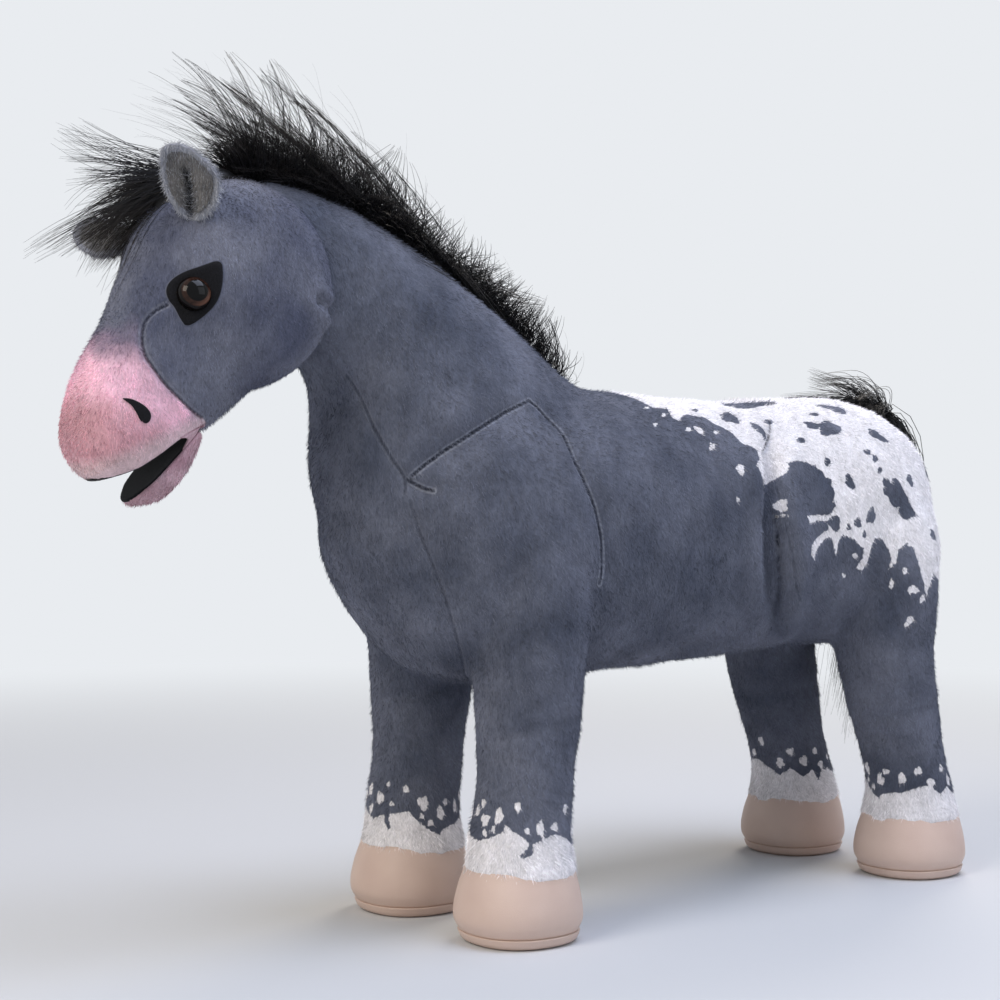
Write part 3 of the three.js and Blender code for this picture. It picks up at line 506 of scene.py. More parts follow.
DARK_SPOTS = [  # middle, half length, half width, turn in degrees
    (186.7, 32.9, 33.4, 11.6, 177), (139.5, 66.5, 10.2, 8.1, 164), (105.6, 57.9, 5.6, 2.2, 160),
    (162.8, 80.2, 7.6, 5.3, -144), (166.6, 88.4, 4.3, 3, -61), (183.1, 69.9, 6, 3.2, 160),
    (239.4, 65, 5.6, 3.2, 170), (241.5, 85.4, 13.1, 8.3, 166), (225.4, 80.9, 8.5, 4.4, -166),
    (202.4, 96.2, 5.7, 2.9, 173), (272, 54.6, 14.1, 7.3, -132), (293.7, 94.3, 10.3, 4.8, -143),
    (271.2, 111.3, 4.5, 2.5, 178), (277.9, 117.6, 4.1, 2.8, 135), (279.4, 128.3, 3.4, 2.3, 139),
    (222.5, 118.3, 4.5, 3.3, 136), (242.2, 138.1, 7.4, 4.7, 69), (297.6, 151.2, 15.2, 10.3, 50),
    (306.1, 163.1, 9.3, 8.6, 76), (286.3, 144.5, 9.4, 6.1, 61), (263.7, 168.5, 7.5, 5.1, 117),
    (247.6, 174.4, 4.9, 3.9, 67), (237.3, 178.7, 3.1, 2.5, 76), (255.5, 185.2, 3.1, 2.4, 76),
    (221.9, 174.9, 7.4, 6.2, 74), (316.6, 136.9, 5.6, 4, 75), (350, 60, 12, 8, 20), (362, 120, 9, 13, 60),
    (372, 170, 11, 6, 100), (335, 185, 5, 4, 40), (392, 90, 7, 10, 10), (404, 150, 12, 8, 70),
]
WHITE_FLECKS = [
    (41.7, 84.7, 3.2, 1.7, 152), (77.2, 87.5, 4.1, 2.1, 154), (89.7, 87, 4.8, 4.3, -138),
    (110.5, 86.9, 3.6, 1.9, 152), (96.4, 103.4, 5, 2.7, 140), (121.3, 125, 5.6, 3.9, 90),
    (114.2, 153, 2.5, 2.2, 117), (166.2, 157.8, 5.9, 3.5, 96), (166.7, 167.9, 2.5, 1.6, 177),
    (247.1, 204, 3.2, 2.6, -168), (236.8, 221.2, 2.8, 1.8, 55), (286.4, 223.9, 3.6, 1.8, 89),
    (297.4, 212.3, 2.8, 2.1, 93), (305.3, 225.1, 5, 2.6, 176), (314, 230.5, 3.6, 1.9, 132),
    (303.4, 244.8, 4.6, 2.1, 135), (156.6, 140.1, 2.2, 1.8, 171), (46, 63.2, 4, 1.5, 157),
    (58.8, 72, 3.9, 1.5, 141), (351, 238, 3, 2, 40), (372, 229, 4, 2, 80), (398, 240, 3, 2, 20),
]
UNROLL = 110         # mm, the rump's mean radius for that map
UNROLL_AT = (300, 320)    # its middle, along the horse and up


def inside_by(points, outline):
    """How far inside an outline each point is, in the outline's units: negative outside."""
    a = np.asarray(outline, float)
    b = np.roll(a, -1, axis=0)
    nearest = np.full(len(points), 1e9)
    inside = np.zeros(len(points), bool)
    for (ax, ay), (bx, by) in zip(a, b):
        dx, dy = bx - ax, by - ay
        share = np.clip(((points[:, 0] - ax) * dx + (points[:, 1] - ay) * dy) / (dx * dx + dy * dy), 0, 1)
        off = np.hypot(points[:, 0] - ax - share * dx, points[:, 1] - ay - share * dy)
        nearest = np.minimum(nearest, off)
        crosses = (ay > points[:, 1]) != (by > points[:, 1])
        with np.errstate(divide="ignore", invalid="ignore"):
            left = points[:, 0] < ax + (points[:, 1] - ay) * dx / dy
        inside ^= crosses & left
    return np.where(inside, nearest, -nearest)


def in_ellipses(points, ellipses):
    """How far inside the nearest of some ellipses each point is, in millimetres."""
    best = np.full(len(points), -1e9)
    for u, v, long, short, turn in ellipses:
        c, s = math.cos(math.radians(turn)), math.sin(math.radians(turn))
        du, dv = points[:, 0] - u, points[:, 1] - v
        along, aside = (c * du + s * dv) / long, (c * dv - s * du) / short
        way = np.arctan2(aside, along)
        ripple = 1 + 0.14 * np.sin(3 * way + u) + 0.08 * np.sin(5 * way + v)
        best = np.maximum(best, (ripple - np.hypot(along, aside)) * (long + short) / 2)
    return best


spots, aims = places_of(body)
out, along, up = np.abs(spots[:, 0]), spots[:, 1], spots[:, 2]
down = UNROLL * np.arctan2(out, up - UNROLL_AT[1])
round_rump = UNROLL_AT[0] + UNROLL * np.arctan2(along - UNROLL_AT[0], np.hypot(out, up - UNROLL_AT[1]))
unrolled = np.column_stack([np.where(along < UNROLL_AT[0], along, round_rump), down])
# The far side has the same print, drawn a little differently
turn_out = np.clip(unrolled[:, 1] / 60, 0, 1) * (spots[:, 0] < 0)
unrolled[:, 0] += turn_out * 9 * np.sin(unrolled[:, 1] / 21)
unrolled[:, 1] += turn_out * 8 * np.sin(unrolled[:, 0] / 17)
white = np.maximum(inside_by(unrolled, BLANKET), in_ellipses(unrolled, WHITE_FLECKS))
white = np.minimum(white, -in_ellipses(unrolled, DARK_SPOTS))
white[up < 215] = -40

# Socks: drops and edge, round each leg from the side that faces forwards and out, and up from the hem
SOCK_SPOTS = (
    [(-36.9, 47.2, 3.4, 3.2), (-43.5, 40.9, 3.1, 4.8), (-31.6, 35.8, 4.7, 4.4), (-18.3, 40.9, 3.5, 6.1),
     (-22.1, 30.1, 2.1, 2.3), (-30.3, 26, 2.2, 2.8), (-10.6, 32.6, 2.4, 2.3), (-2.2, 49.1, 2.6, 3.6),
     (5.2, 32.6, 2.3, 2), (15.9, 34.5, 3.2, 6.1), (29.2, 35.8, 3.6, 3.3), (41.4, 48.5, 2.5, 3.8),
     (57, 30, 3.4, 5), (66, 42, 3, 3.6), (78, 34, 4, 4.6), (90, 44, 2.6, 3.4), (98, 31, 3.4, 3.8),
     (-60, 36, 3.6, 5.2), (-74, 46, 3, 3.2), (-86, 33, 4.2, 4.4), (-101, 41, 2.8, 4.4), (112, 38, 3, 3)],
    [(-47.5, 39, 3.6, 5.2), (-30.3, 34.9, 5, 4.7), (-41.1, 24.7, 3, 3.3), (-16.5, 32.2, 2.4, 2.2),
     (-4.2, 45.6, 2.8, 3), (10.5, 35.6, 4.5, 5.5), (9, 24.7, 2.2, 2.2), (16.4, 19.9, 2.8, 2.8),
     (26, 28.1, 3.6, 5.2), (32.2, 36.3, 2.7, 2.7), (45, 32.2, 3.2, 5.2), (58, 40, 3, 3.8),
     (70, 30, 4.2, 4), (83, 43, 2.8, 3.2), (95, 33, 3.6, 5), (108, 45, 2.6, 2.8), (-58, 32, 3.8, 4),
     (-70, 44, 2.8, 3.6), (-84, 35, 4, 5), (-98, 28, 3, 3), (-110, 40, 3.4, 4.2), (-22, 47, 2, 2.4)],
)
SOCK_EDGES = (
    [(-119, 24), (-104, 18), (-92, 26), (-80, 21), (-66, 27), (-52, 20.6), (-36.9, 19.3), (-25.3, 23.1),
     (-16.2, 28.2), (-9.2, 31.4), (-3.9, 30.7), (2.6, 26.9), (5.9, 24.4), (5.9, 20.6), (-0.7, 13.6),
     (1.3, 11.9), (9.2, 14.9), (9.2, 23.1), (16.2, 25.7), (25.3, 29.5), (34.6, 29.5), (45.2, 24.4),
     (56, 18), (66, 26), (78, 19), (88, 27), (93, 14), (97, 24), (108, 28), (119, 24)],
    [(-119, 22), (-108, 27), (-94, 19), (-83, 26), (-77, 15), (-72, 25), (-62, 28), (-52.1, 22.6),
     (-36, 17.1), (-27, 21.2), (-22.5, 22.6), (-22.5, 17.1), (-18.2, 11.9), (-15.7, 13), (-18.2, 19.9),
     (-17.9, 24.7), (-10.2, 26), (-1.2, 28.1), (4, 22.6), (10.8, 17.1), (17.2, 13), (24.2, 10.3),
     (26, 14.4), (34.6, 17.1), (43.1, 18.5), (55, 24), (68, 28), (80, 20), (90, 27), (104, 19), (119, 22)],
)
LEG_ROUND = 38       # mm, a leg's mean radius at its sock
SOCK_HEM = 57        # mm, its height
# Each leg's side and middle along the horse, its pattern, and how far that is turned round it, in mm
for side, middle_y, pattern, offset in (
        (1, -94.4, 0, 0), (-1, -94.4, 1, 0), (1, 354.6, 1, 60), (-1, 354.6, 0, 75)):
    leg = (np.abs(spots[:, 1] - middle_y) < 60) & (spots[:, 0] * side > 15) & (spots[:, 2] < 130)
    turn = np.arctan2(spots[leg, 1] - middle_y, spots[leg, 0] - side * LEG_X) + math.radians(37)
    once_round = 2 * math.pi * LEG_ROUND
    arc = (LEG_ROUND * turn + offset + once_round / 2) % once_round - once_round / 2
    low = spots[leg, 2] - SOCK_HEM + 3.5 * np.sin(turn)
    around = np.column_stack([arc, low])
    outline = [(-140, -30), (-140, SOCK_EDGES[pattern][0][1]), *SOCK_EDGES[pattern],
               (140, SOCK_EDGES[pattern][-1][1]), (140, -30)]
    drops = [(a, h, max(w, t), min(w, t), 90 if t > w else 0) for a, h, w, t in SOCK_SPOTS[pattern]]
    white[leg] = np.maximum(inside_by(around, outline), in_ellipses(around, drops))
mark(body, "print", white)
# Panels by which the pile is laid on: front legs, hind legs, neck and chest, barrel, rump
panel = np.where(up < 235, np.where(along < 130, 0, 1), np.where(along < -60, 2, np.where(along < 230, 3, 4)))
panel = np.where(((near_seam < 0.6) & (plain > 0.55)) | (up < 51), -1, panel)
mark(body, "panel", panel)


def mottled(tree, size, dark, pale, low=0.35, detail=3.0, rough=0.5, drawn=(1, 1, 1)):
    """A colour that drifts between two shades in patches of a size in mm. Gives the pattern as well."""
    place = add(tree, "ShaderNodeTexCoord").outputs["Object"]
    place = add(tree, "ShaderNodeVectorMath", {0: place, 1: drawn}, operation="MULTIPLY")
    cloud = add(tree, "ShaderNodeTexNoise", {"Vector": place, "Scale": 1 / (size * MM), "Detail": detail,
                                             "Roughness": rough})
    share = add(tree, "ShaderNodeMapRange", {"Value": cloud, "From Min": low, "From Max": 1 - low})
    return add(tree, "ShaderNodeMix", {0: share, 6: dark, 7: pale}, data_type="RGBA").outputs[2], cloud


def finish(tree, inputs, height=None, depth=1.0, strength=1.0):
    """The Principled shader at the end of a material, with bump from a height, its depth in mm."""
    shader = add(tree, "ShaderNodeBsdfPrincipled", inputs)
    if height is not None:
        bump = add(tree, "ShaderNodeBump", {"Height": height, "Distance": depth * MM, "Strength": strength})
        tree.links.new(bump.outputs[0], shader.inputs["Normal"])
    add(tree, "ShaderNodeOutputMaterial", {"Surface": shader})


# A real pile hair is 0.03 mm thick. Hairs are drawn 1 mm wide here so that they show.
NAP_LAYERS = [    # size in mm, stretch along the nap, detail, distortion, where it starts, lighter by
    (1.05, 0.42, 3, 0.4, 0.3, 0.16),     # hairs
    (3.85, 0.55, 3, 0.8, 0.32, 0.1),     # tufts
    # Brushed patches, lighter or darker: painted sheen where the pile lies another way
    (29.4, 0.7, 4, 1.2, 0.3, 0.13),      # patches where a hand has brushed it
]


def nap(tree, colour):
    """Short pile that lies downwards, lighter or darker at random and with painted sheen where brushed. Gives
    colour and height.
    """
    place = add(tree, "ShaderNodeTexCoord").outputs["Object"]
    layers = []
    light = 1.0
    for size, drawn, detail, distortion, low, lighter in NAP_LAYERS:
        lying = add(tree, "ShaderNodeVectorMath", {0: place, 1: (1, 1, drawn)}, operation="MULTIPLY")
        layers.append(add(tree, "ShaderNodeTexNoise", {
            "Vector": lying, "Scale": 1 / (size * MM), "Detail": detail, "Roughness": 0.6,
            "Distortion": distortion}))
        varied = add(tree, "ShaderNodeMapRange", {
            "Value": layers[-1], "From Min": low, "From Max": 1 - low, "To Min": -lighter, "To Max": lighter})
        light = add(tree, "ShaderNodeMath", {0: light, 1: varied}, operation="ADD")
    shaded = add(tree, "ShaderNodeVectorMath", {0: colour, 3: light}, operation="SCALE").outputs[0]
    hairs, tufts, _ = layers
    return shaded, add(tree, "ShaderNodeMath", {0: tufts, 1: 1.6, 2: hairs}, operation="MULTIPLY_ADD")


def coat_colour(tree):
    """Blue-grey with the printed blanket and socks, whose edges fray by less than a millimetre."""
    printed = add(tree, "ShaderNodeAttribute", attribute_name="print").outputs["Fac"]
    place = add(tree, "ShaderNodeTexCoord").outputs["Object"]
    fray = add(tree, "ShaderNodeTexNoise", {"Vector": place, "Scale": 1 / (2.5 * MM), "Detail": 2})
    fray = add(tree, "ShaderNodeMapRange", {"Value": fray, "From Min": 0.3, "From Max": 0.7,
                                            "To Min": -0.8, "To Max": 0.8})
    inside = add(tree, "ShaderNodeMath", {0: printed, 1: fray}, operation="ADD")
    is_white = add(tree, "ShaderNodeMapRange", {"Value": inside, "From Min": -0.5, "From Max": 0.5},
                   interpolation_type="SMOOTHSTEP")
    grey, _ = mottled(tree, 62.5, "4b505e", "6d717f", low=0.32, detail=4)
    return add(tree, "ShaderNodeMix", {0: is_white, 6: grey, 7: "ebe8ea"}, data_type="RGBA").outputs[2]


STITCH = 4.19        # mm, from one stitch of a seam to the next


def painted_seam_shade(tree, pile, height, dark):
    """A seam: painted shade in its crease, puckered by the stitches, and a faint painted highlight beside it.
    """
    off, along, shows = [add(tree, "ShaderNodeAttribute", attribute_name=key).outputs["Fac"]
                         for key in ("seam", "course", "plain")]
    turns = add(tree, "ShaderNodeMath", {0: along, 1: 2 * math.pi / STITCH}, operation="MULTIPLY")
    stitch = add(tree, "ShaderNodeMath", {0: turns}, operation="SINE")
    pucker = add(tree, "ShaderNodeMapRange", {"Value": stitch, "From Min": -0.6, "From Max": 0.9})
    # The pile beside the seam, from 1 to 3.4 mm off it, gets a painted highlight
    ridge = add(tree, "ShaderNodeMapRange", {"Value": off, "From Min": 0.9, "From Max": 1.8},
                interpolation_type="SMOOTHSTEP")
    outer = add(tree, "ShaderNodeMapRange", {"Value": off, "From Min": 2, "From Max": 3.4,
                                             "To Min": 1, "To Max": 0}, interpolation_type="SMOOTHSTEP")
    for factor in (outer, shows, shows):
        ridge = add(tree, "ShaderNodeMath", {0: ridge, 1: factor}, operation="MULTIPLY")
    # The painted highlight, stronger at each stitch's pucker
    paler = add(tree, "ShaderNodeMath", {0: pucker, 1: 0.12, 2: 0.2}, operation="MULTIPLY_ADD")
    paler = add(tree, "ShaderNodeMath", {0: paler, 1: ridge}, operation="MULTIPLY")
    pile = add(tree, "ShaderNodeMix", {0: paler, 6: pile, 7: "b9bdc9"}, data_type="RGBA").outputs[2]
    # The line itself, painted shade in the crease, which each stitch closes and opens a little
    line = add(tree, "ShaderNodeMapRange", {"Value": off, "From Min": 0.4, "From Max": 1.7,
                                            "To Min": 0.9, "To Max": 0}, interpolation_type="SMOOTHSTEP")
    opened = add(tree, "ShaderNodeMath", {0: pucker, 1: -0.25, 2: 1.0}, operation="MULTIPLY_ADD")
    for factor in (opened, shows):
        line = add(tree, "ShaderNodeMath", {0: line, 1: factor}, operation="MULTIPLY")
    pile = add(tree, "ShaderNodeMix", {0: line, 6: pile, 7: dark}, data_type="RGBA").outputs[2]
    raised = add(tree, "ShaderNodeMath", {0: ridge, 1: pucker}, operation="MULTIPLY")
    return pile, add(tree, "ShaderNodeMath", {0: raised, 1: 0.5, 2: height}, operation="MULTIPLY_ADD")


# Knitted polyester plush, printed on its pile: quite matt, with a soft sheen at a grazing view. This is
# the skin under the hairs, a shade darker than their tips.
coat, tree = new_material("plush_coat_printed_short_pile")
pile, height = nap(tree, coat_colour(tree))
# The seams get painted shade in their creases and a painted highlight beside them
pile, height = painted_seam_shade(tree, pile, height, "1b1d26")
finish(tree, {"Base Color": pile, "Roughness": 0.92, "Sheen Weight": 0.25, "Sheen Roughness": 0.42,
              "Sheen Tint": "b9bacb", "Specular IOR Level": 0.12}, height, depth=1.1, strength=0.75)
body.data.materials.append(coat)

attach(body, "horse_body")
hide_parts("torso", "neck", "front_leg_left", "front_leg_right", "hind_leg_left", "hind_leg_right")


def shade(obj):
    """Lets an object's faces show as one smooth skin."""
    for poly in obj.data.polygons:
        poly.use_smooth = True
    return obj


shade(body)

# Head plush
# The same pile over the cheeks and the long face, firmly filled, airbrushed pink at the muzzle.
# A seam runs under each cheek to the corner of the open mouth.
HEAD_AT = np.array([0, -308.37, 492.5])     # mm, where the cheeks turn
HEAD_RADIUS = 77
MOUTH_AT = np.array([0, -340.8, 389.82])    # where the lips hinge
# Ways in the side view: down the face and off it, at 31 degrees to upright; forwards along the mouth's
# roof, 25 degrees below level, and along the lower lip's floor, 48 degrees below level; and up from each
DOWN_FACE = np.array([0, -0.51504, -0.85717])
OFF_FACE = np.array([0, -0.85717, 0.51504])
ROOF = np.array([0, -0.90631, -0.42262])
ROOF_UP = np.array([0, -0.42262, 0.90631])
LIP_FLOOR = np.array([0, -0.66913, -0.74314])
LIP_FLOOR_UP = np.array([0, -0.74314, 0.66913])
FACE = [  # as in TRUNK
    (-330.1, 564, -248.6, 515.1, 44.1), (-368.7, 538.2, -256.7, 470.9, 48),
    (-388.4, 497.3, -280, 432.2, 49), (-403.2, 460.7, -309.1, 404.2, 44.1),
    (-416.9, 437.6, -332, 386.6, 41.2), (-428, 409.4, -358.3, 365.9, 42.1),
    (-430.9, 382.5, -385.2, 350.4, 41.2), (-426.3, 357.1, -404.9, 341.6, 36.3),
]
LOWER_LIP = [  # as in TRUNK
    (-352.7, 400.5, -336.5, 381.5, 30), (-373, 384, -346.3, 356.2, 29.1),
    (-389.6, 364, -361.4, 338.6, 25.8), (-400.8, 344.2, -379.9, 325.5, 19.8),
]


def round_about_x(profile, middle, sides):
    """Cheeks turned about the sideways axis, fuller behind, from (distance along it, radius) in mm."""
    corners, faces = [], []
    widest = max(abs(along) for along, _ in profile)
    for along, radius in profile:
        outer = abs(along) / widest
        for k in range(sides):
            turn = 2 * math.pi * k / sides
            back = 0.5 + 0.5 * math.cos(turn + 0.5)
            full = min(HEAD_RADIUS, radius * (1 + 0.30 * back * outer**4 * (1 - outer**16)))
            corners.append((along, full * math.cos(turn), full * math.sin(turn)))
    corners += [(profile[0][0], 0, 0), (profile[-1][0], 0, 0)]
    last = (len(profile) - 1) * sides
    for k in range(sides):
        n = (k + 1) % sides
        faces += [(r + k, r + n, r + sides + n, r + sides + k) for r in range(0, last, sides)]
        faces += [(last + sides, n, k), (last + sides + 1, last + k, last + n)]
    return np.array(corners) + middle, faces


SLAB_WIDE = 90       # mm to each side, past every piece that a slab cuts


def slab(outline):
    """A block over an outline in the side view."""
    count = len(outline)
    corners = [point + np.array([side * SLAB_WIDE, 0, 0]) for side in (-1, 1) for point in outline]
    faces = [tuple(range(count)), tuple(range(count, 2 * count))]
    faces += [(k, (k + 1) % count, (k + 1) % count + count, k + count) for k in range(count)]
    return corners, faces


def carve(obj, form):
    """Cuts a form out of an object."""
    cutter = new_object("cutter", *form)
    cut = obj.modifiers.new("cut", "BOOLEAN")
    cut.operation = "DIFFERENCE"
    cut.solver = "EXACT"
    cut.object = cutter
    baked(obj)
    bpy.data.objects.remove(cutter)


def soften(obj, voxel, smoothing):
    """Remakes an object's skin with even faces and rounded edges."""
    remesh = obj.modifiers.new("skin", "REMESH")
    remesh.mode = "VOXEL"
    remesh.voxel_size = voxel * MM
    smooth = obj.modifiers.new("soft_edges", "SMOOTH")
    smooth.factor = 0.5
    smooth.iterations = smoothing
    return shade(baked(obj))


CHEEK_HALF = 59      # mm, from the middle plane to the outside of a cheek
drum = []
for a in np.linspace(-math.pi / 2, math.pi / 2, 41):
    along = CHEEK_HALF * math.copysign(abs(math.sin(a)) ** 0.8, math.sin(a))
    drum.append((along, HEAD_RADIUS * max(math.cos(a), 1e-4) ** 0.8))
skull = fused("head_plush", [
    round_about_x(drum[1:-1], HEAD_AT, 96),
    stuffed(FACE, rings=30, sides=64, square=2.4, start_round=0.14, end_round=0.16),
], voxel=2.6, smoothing=8)
ROOF_LINE = [MOUTH_AT, MOUTH_AT + 22 * ROOF - 0.8 * ROOF_UP, MOUTH_AT + 42 * ROOF - 4 * ROOF_UP,
             MOUTH_AT + 60 * ROOF - 6 * ROOF_UP, MOUTH_AT + 110 * ROOF - 5.5 * ROOF_UP]
carve(skull, slab([*ROOF_LINE, MOUTH_AT + 110 * ROOF - 200 * ROOF_UP, MOUTH_AT - 200 * OFF_FACE]))
soften(skull, 2.2, 4)
# The seam under each cheek, from below the eye to the corner of the mouth, and the tuck behind the jaw
CHEEK = [
    (38.5, -376, 471), (34.8, -384.2, 465.9), (32, -389.9, 458.4), (34, -392.9, 447),
    (36.6, -391.8, 435.8), (39.8, -386.7, 426.6), (40.8, -378.1, 415.9), (39.7, -367.2, 406.2),
    (37.6, -355.7, 398.2), (30, -342.9, 392.8),
]
CHEEK_LONG = 105     # mm, along that seam
JAW_TUCK = [(41.7, -250.1, 475.1), (50.4, -261.4, 480.9)]
EYE_AT = np.array([47.33, -359.53, 479.0])    # mm, on the left side
EYE_OUT = np.array([0.955, -0.2062, 0.2131])    # which way the left eye looks
spots, aims = places_of(skull)
half = np.column_stack([np.abs(spots[:, 0]), spots[:, 1:]])
gap, share = distance_to(half, on_skin(CHEEK, skin_of(skull)))
sink = 2.2 * np.exp(-((gap / 1.9) ** 2)) - 0.5 * np.exp(-(((gap - 6) / 3.5) ** 2))
near_seam = np.minimum(gap, FAR_OFF)
course = share * CHEEK_LONG
ahead_of_cheek = [(-325, 375), (-325, 300), (-480, 300), (-480, 520), (-410, 520)]
muzzle_side = inside_by(spots[:, 1:], [point[1:] for point in CHEEK] + ahead_of_cheek)
gap, share = distance_to(half, JAW_TUCK)
sink += 8 * np.exp(-((gap / 4.2) ** 2)) - 1.8 * np.exp(-(((gap - 9) / 4) ** 2))
# The tuck is given the seam's painted shade along it, and its painted highlight beside it
near_seam = np.minimum(near_seam, 0.7 + gap * 0.45)
# The washers behind the eyes pull the cheek in round them
gap = np.linalg.norm(half - EYE_AT - [0, 0, 1], axis=1)
sink += 1.6 * np.exp(-(((gap - 6) / 9) ** 2))
spots = spots - aims * sink[:, None]
set_places(skull, spots)
# The cheek seam and the tuck show their painted shade and highlight at 0.8 of full
for key, value in (("seam", near_seam), ("course", course), ("muzzle_side", muzzle_side),
                   ("plain", np.full(len(spots), 0.8))):
    mark(skull, key, value)
shade(skull)
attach(skull, "head")
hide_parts("head", "muzzle")

lip = new_object("lower_lip_plush", *stuffed(LOWER_LIP, rings=18, sides=48, start_round=0.08, end_round=0.35))
behind, ahead, up = MOUTH_AT - 120 * LIP_FLOOR, MOUTH_AT + 200 * LIP_FLOOR, 90 * LIP_FLOOR_UP
carve(lip, slab([behind, ahead, ahead + up, behind + up]))
soften(lip, 1.5, 5)
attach(lip, "lower_lip")
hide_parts("lower_lip")


# The corners of the mouth: a web of plush, black inside, joins the lips
def corner_web(side, skins, deep, thick, reach, rows=10, across=16):
    """A closed sheet between the lips from the corner of the mouth outwards, in millimetres."""
    corners, faces = [], []
    for layer in (deep, deep + thick):
        for i in range(rows + 1):
            for j in range(across + 1):
                over = -0.12 + 1.24 * j / across
                held = min(1, max(0, over))
                far = 1 + reach * (1 - 0.3 * math.sin(math.pi * held)) * i / rows
                widths = []
                for skin, ahead, off in ((skins[0], ROOF, 2.5 * ROOF_UP),
                                         (skins[1], LIP_FLOOR, -2.5 * LIP_FLOOR_UP)):
                    seen = Vector((MOUTH_AT + far * ahead + off + [side * SLAB_WIDE, 0, 0]) * MM)
                    hit = skin.ray_cast(seen, Vector((-side, 0, 0)))[0]
                    widths.append(abs(hit.x) / MM if hit else 30)
                wide = widths[0] + (widths[1] - widths[0]) * held - layer - 1.2 * abs(2 * over - 1) ** 6
                way = (1 - over) * ROOF + over * LIP_FLOOR
                spot = MOUTH_AT + far * way / np.linalg.norm(way)
                corners.append((side * wide, spot[1], spot[2]))
    row = across + 1
    count = (rows + 1) * row
    for i in range(rows):
        for j in range(across):
            a = i * row + j
            faces.append((a, a + 1, a + row + 1, a + row))
            faces.append((count + a, count + a + row, count + a + row + 1, count + a + 1))
    rim = list(range(row)) + [i * row + across for i in range(1, rows + 1)]
    rim += [rows * row + j for j in range(across - 1, -1, -1)] + [i * row for i in range(rows - 1, 0, -1)]
    faces += [(a, b, count + b, count + a) for a, b in zip(rim, rim[1:] + rim[:1])]
    return corners, faces


def face_colour(tree):
    """Grey cheeks, a muzzle panel airbrushed pink that fades up the face, painted shade at its foot, a paler
    upper lip.
    """
    place = add(tree, "ShaderNodeTexCoord").outputs["Object"]
    distances = []
    for start, way in ((HEAD_AT, DOWN_FACE), (MOUTH_AT, ROOF_UP)):
        off = add(tree, "ShaderNodeVectorMath", {0: place, 1: tuple(start * MM)}, operation="SUBTRACT")
        along = add(tree, "ShaderNodeVectorMath", {0: off, 1: tuple(way / MM)}, operation="DOT_PRODUCT")
        distances.append(along.outputs["Value"])
    down, above_roof = distances
    # The spray drifts by 8 mm, in patches of 22 mm
    drift = add(tree, "ShaderNodeTexNoise", {"Vector": place, "Scale": 1 / (22.2 * MM), "Detail": 2})
    drift = add(tree, "ShaderNodeMapRange", {"Value": drift, "From Min": 0.3, "From Max": 0.7,
                                             "To Min": -8, "To Max": 8})
    down = add(tree, "ShaderNodeMath", {0: down, 1: drift}, operation="ADD")
    pink = "7a6f81"
    # The second, darker pink, lowest on the muzzle, is painted shade
    for low, high, most, paint in ((84, 122, 1, "efc2d3"), (112, 150, 0.85, "c3939b")):
        share = add(tree, "ShaderNodeMapRange", {"Value": down, "From Min": low, "From Max": high,
                                                 "To Max": most}, interpolation_type="SMOOTHSTEP")
        pink = add(tree, "ShaderNodeMix", {0: share, 6: pink, 7: paint}, data_type="RGBA").outputs[2]
    rim = add(tree, "ShaderNodeMapRange", {"Value": above_roof, "From Min": 2, "From Max": 15,
                                           "To Min": 0.7, "To Max": 0}, interpolation_type="SMOOTHSTEP")
    low_down = add(tree, "ShaderNodeMapRange", {"Value": down, "From Min": 78, "From Max": 100})
    rim = add(tree, "ShaderNodeMath", {0: rim, 1: low_down}, operation="MULTIPLY")
    pink = add(tree, "ShaderNodeMix", {0: rim, 6: pink, 7: "d0bdbf"}, data_type="RGBA").outputs[2]
    ahead = add(tree, "ShaderNodeAttribute", attribute_name="muzzle_side").outputs["Fac"]
    panel = add(tree, "ShaderNodeMapRange", {"Value": ahead, "From Min": -0.6, "From Max": 0.6})
    starts = add(tree, "ShaderNodeMapRange", {"Value": down, "From Min": 70, "From Max": 92},
                 interpolation_type="SMOOTHSTEP")
    share = add(tree, "ShaderNodeMath", {0: panel, 1: starts}, operation="MULTIPLY")
    grey, _ = mottled(tree, 62.5, "54586a", "777a88")
    return add(tree, "ShaderNodeMix", {0: share, 6: grey, 7: pink}, data_type="RGBA").outputs[2]


def lip_colour(tree):
    return mottled(tree, 20, "b08a95", "c4a6af")[0]


# The coat's plush with paint sprayed on its pile: as matt as the coat, and soft in its changes of colour
face_plush, tree = new_material("plush_head_airbrushed_muzzle")
pile, height = nap(tree, face_colour(tree))
# The cheek seam and the jaw tuck get painted shade in their creases and a painted highlight beside them
pile, height = painted_seam_shade(tree, pile, height, "1d1f29")
finish(tree, {"Base Color": pile, "Roughness": 0.9, "Sheen Weight": 0.25, "Sheen Roughness": 0.4,
              "Sheen Tint": "c5c4d2", "Specular IOR Level": 0.12}, height, depth=0.9, strength=0.6)
skull.data.materials.append(face_plush)

# The lower lip is dyed pink plush, a little paler at its edges than the sprayed muzzle
lip_plush, tree = new_material("plush_lower_lip_pink")
pile, height = nap(tree, lip_colour(tree))
finish(tree, {"Base Color": pile, "Roughness": 0.9, "Sheen Weight": 0.3, "Sheen Roughness": 0.4,
              "Sheen Tint": "e8dbe0", "Specular IOR Level": 0.12}, height, depth=0.9, strength=0.6)
lip.data.materials.append(lip_plush)
lip_skins = [skin_of(skull), skin_of(lip)]
webs = []
for side, name in ((1, "left"), (-1, "right")):
    webs.append(new_object(f"mouth_corner_plush_{name}", *corner_web(side, lip_skins, 0.2, 2.6, 25)))
    webs[-1].data.materials.append(lip_plush)
    webs.append(new_object(f"mouth_corner_felt_{name}", *corner_web(side, lip_skins, 2.9, 1.0, 23.6)))
for made in webs:
    shade(made)
    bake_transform(made)

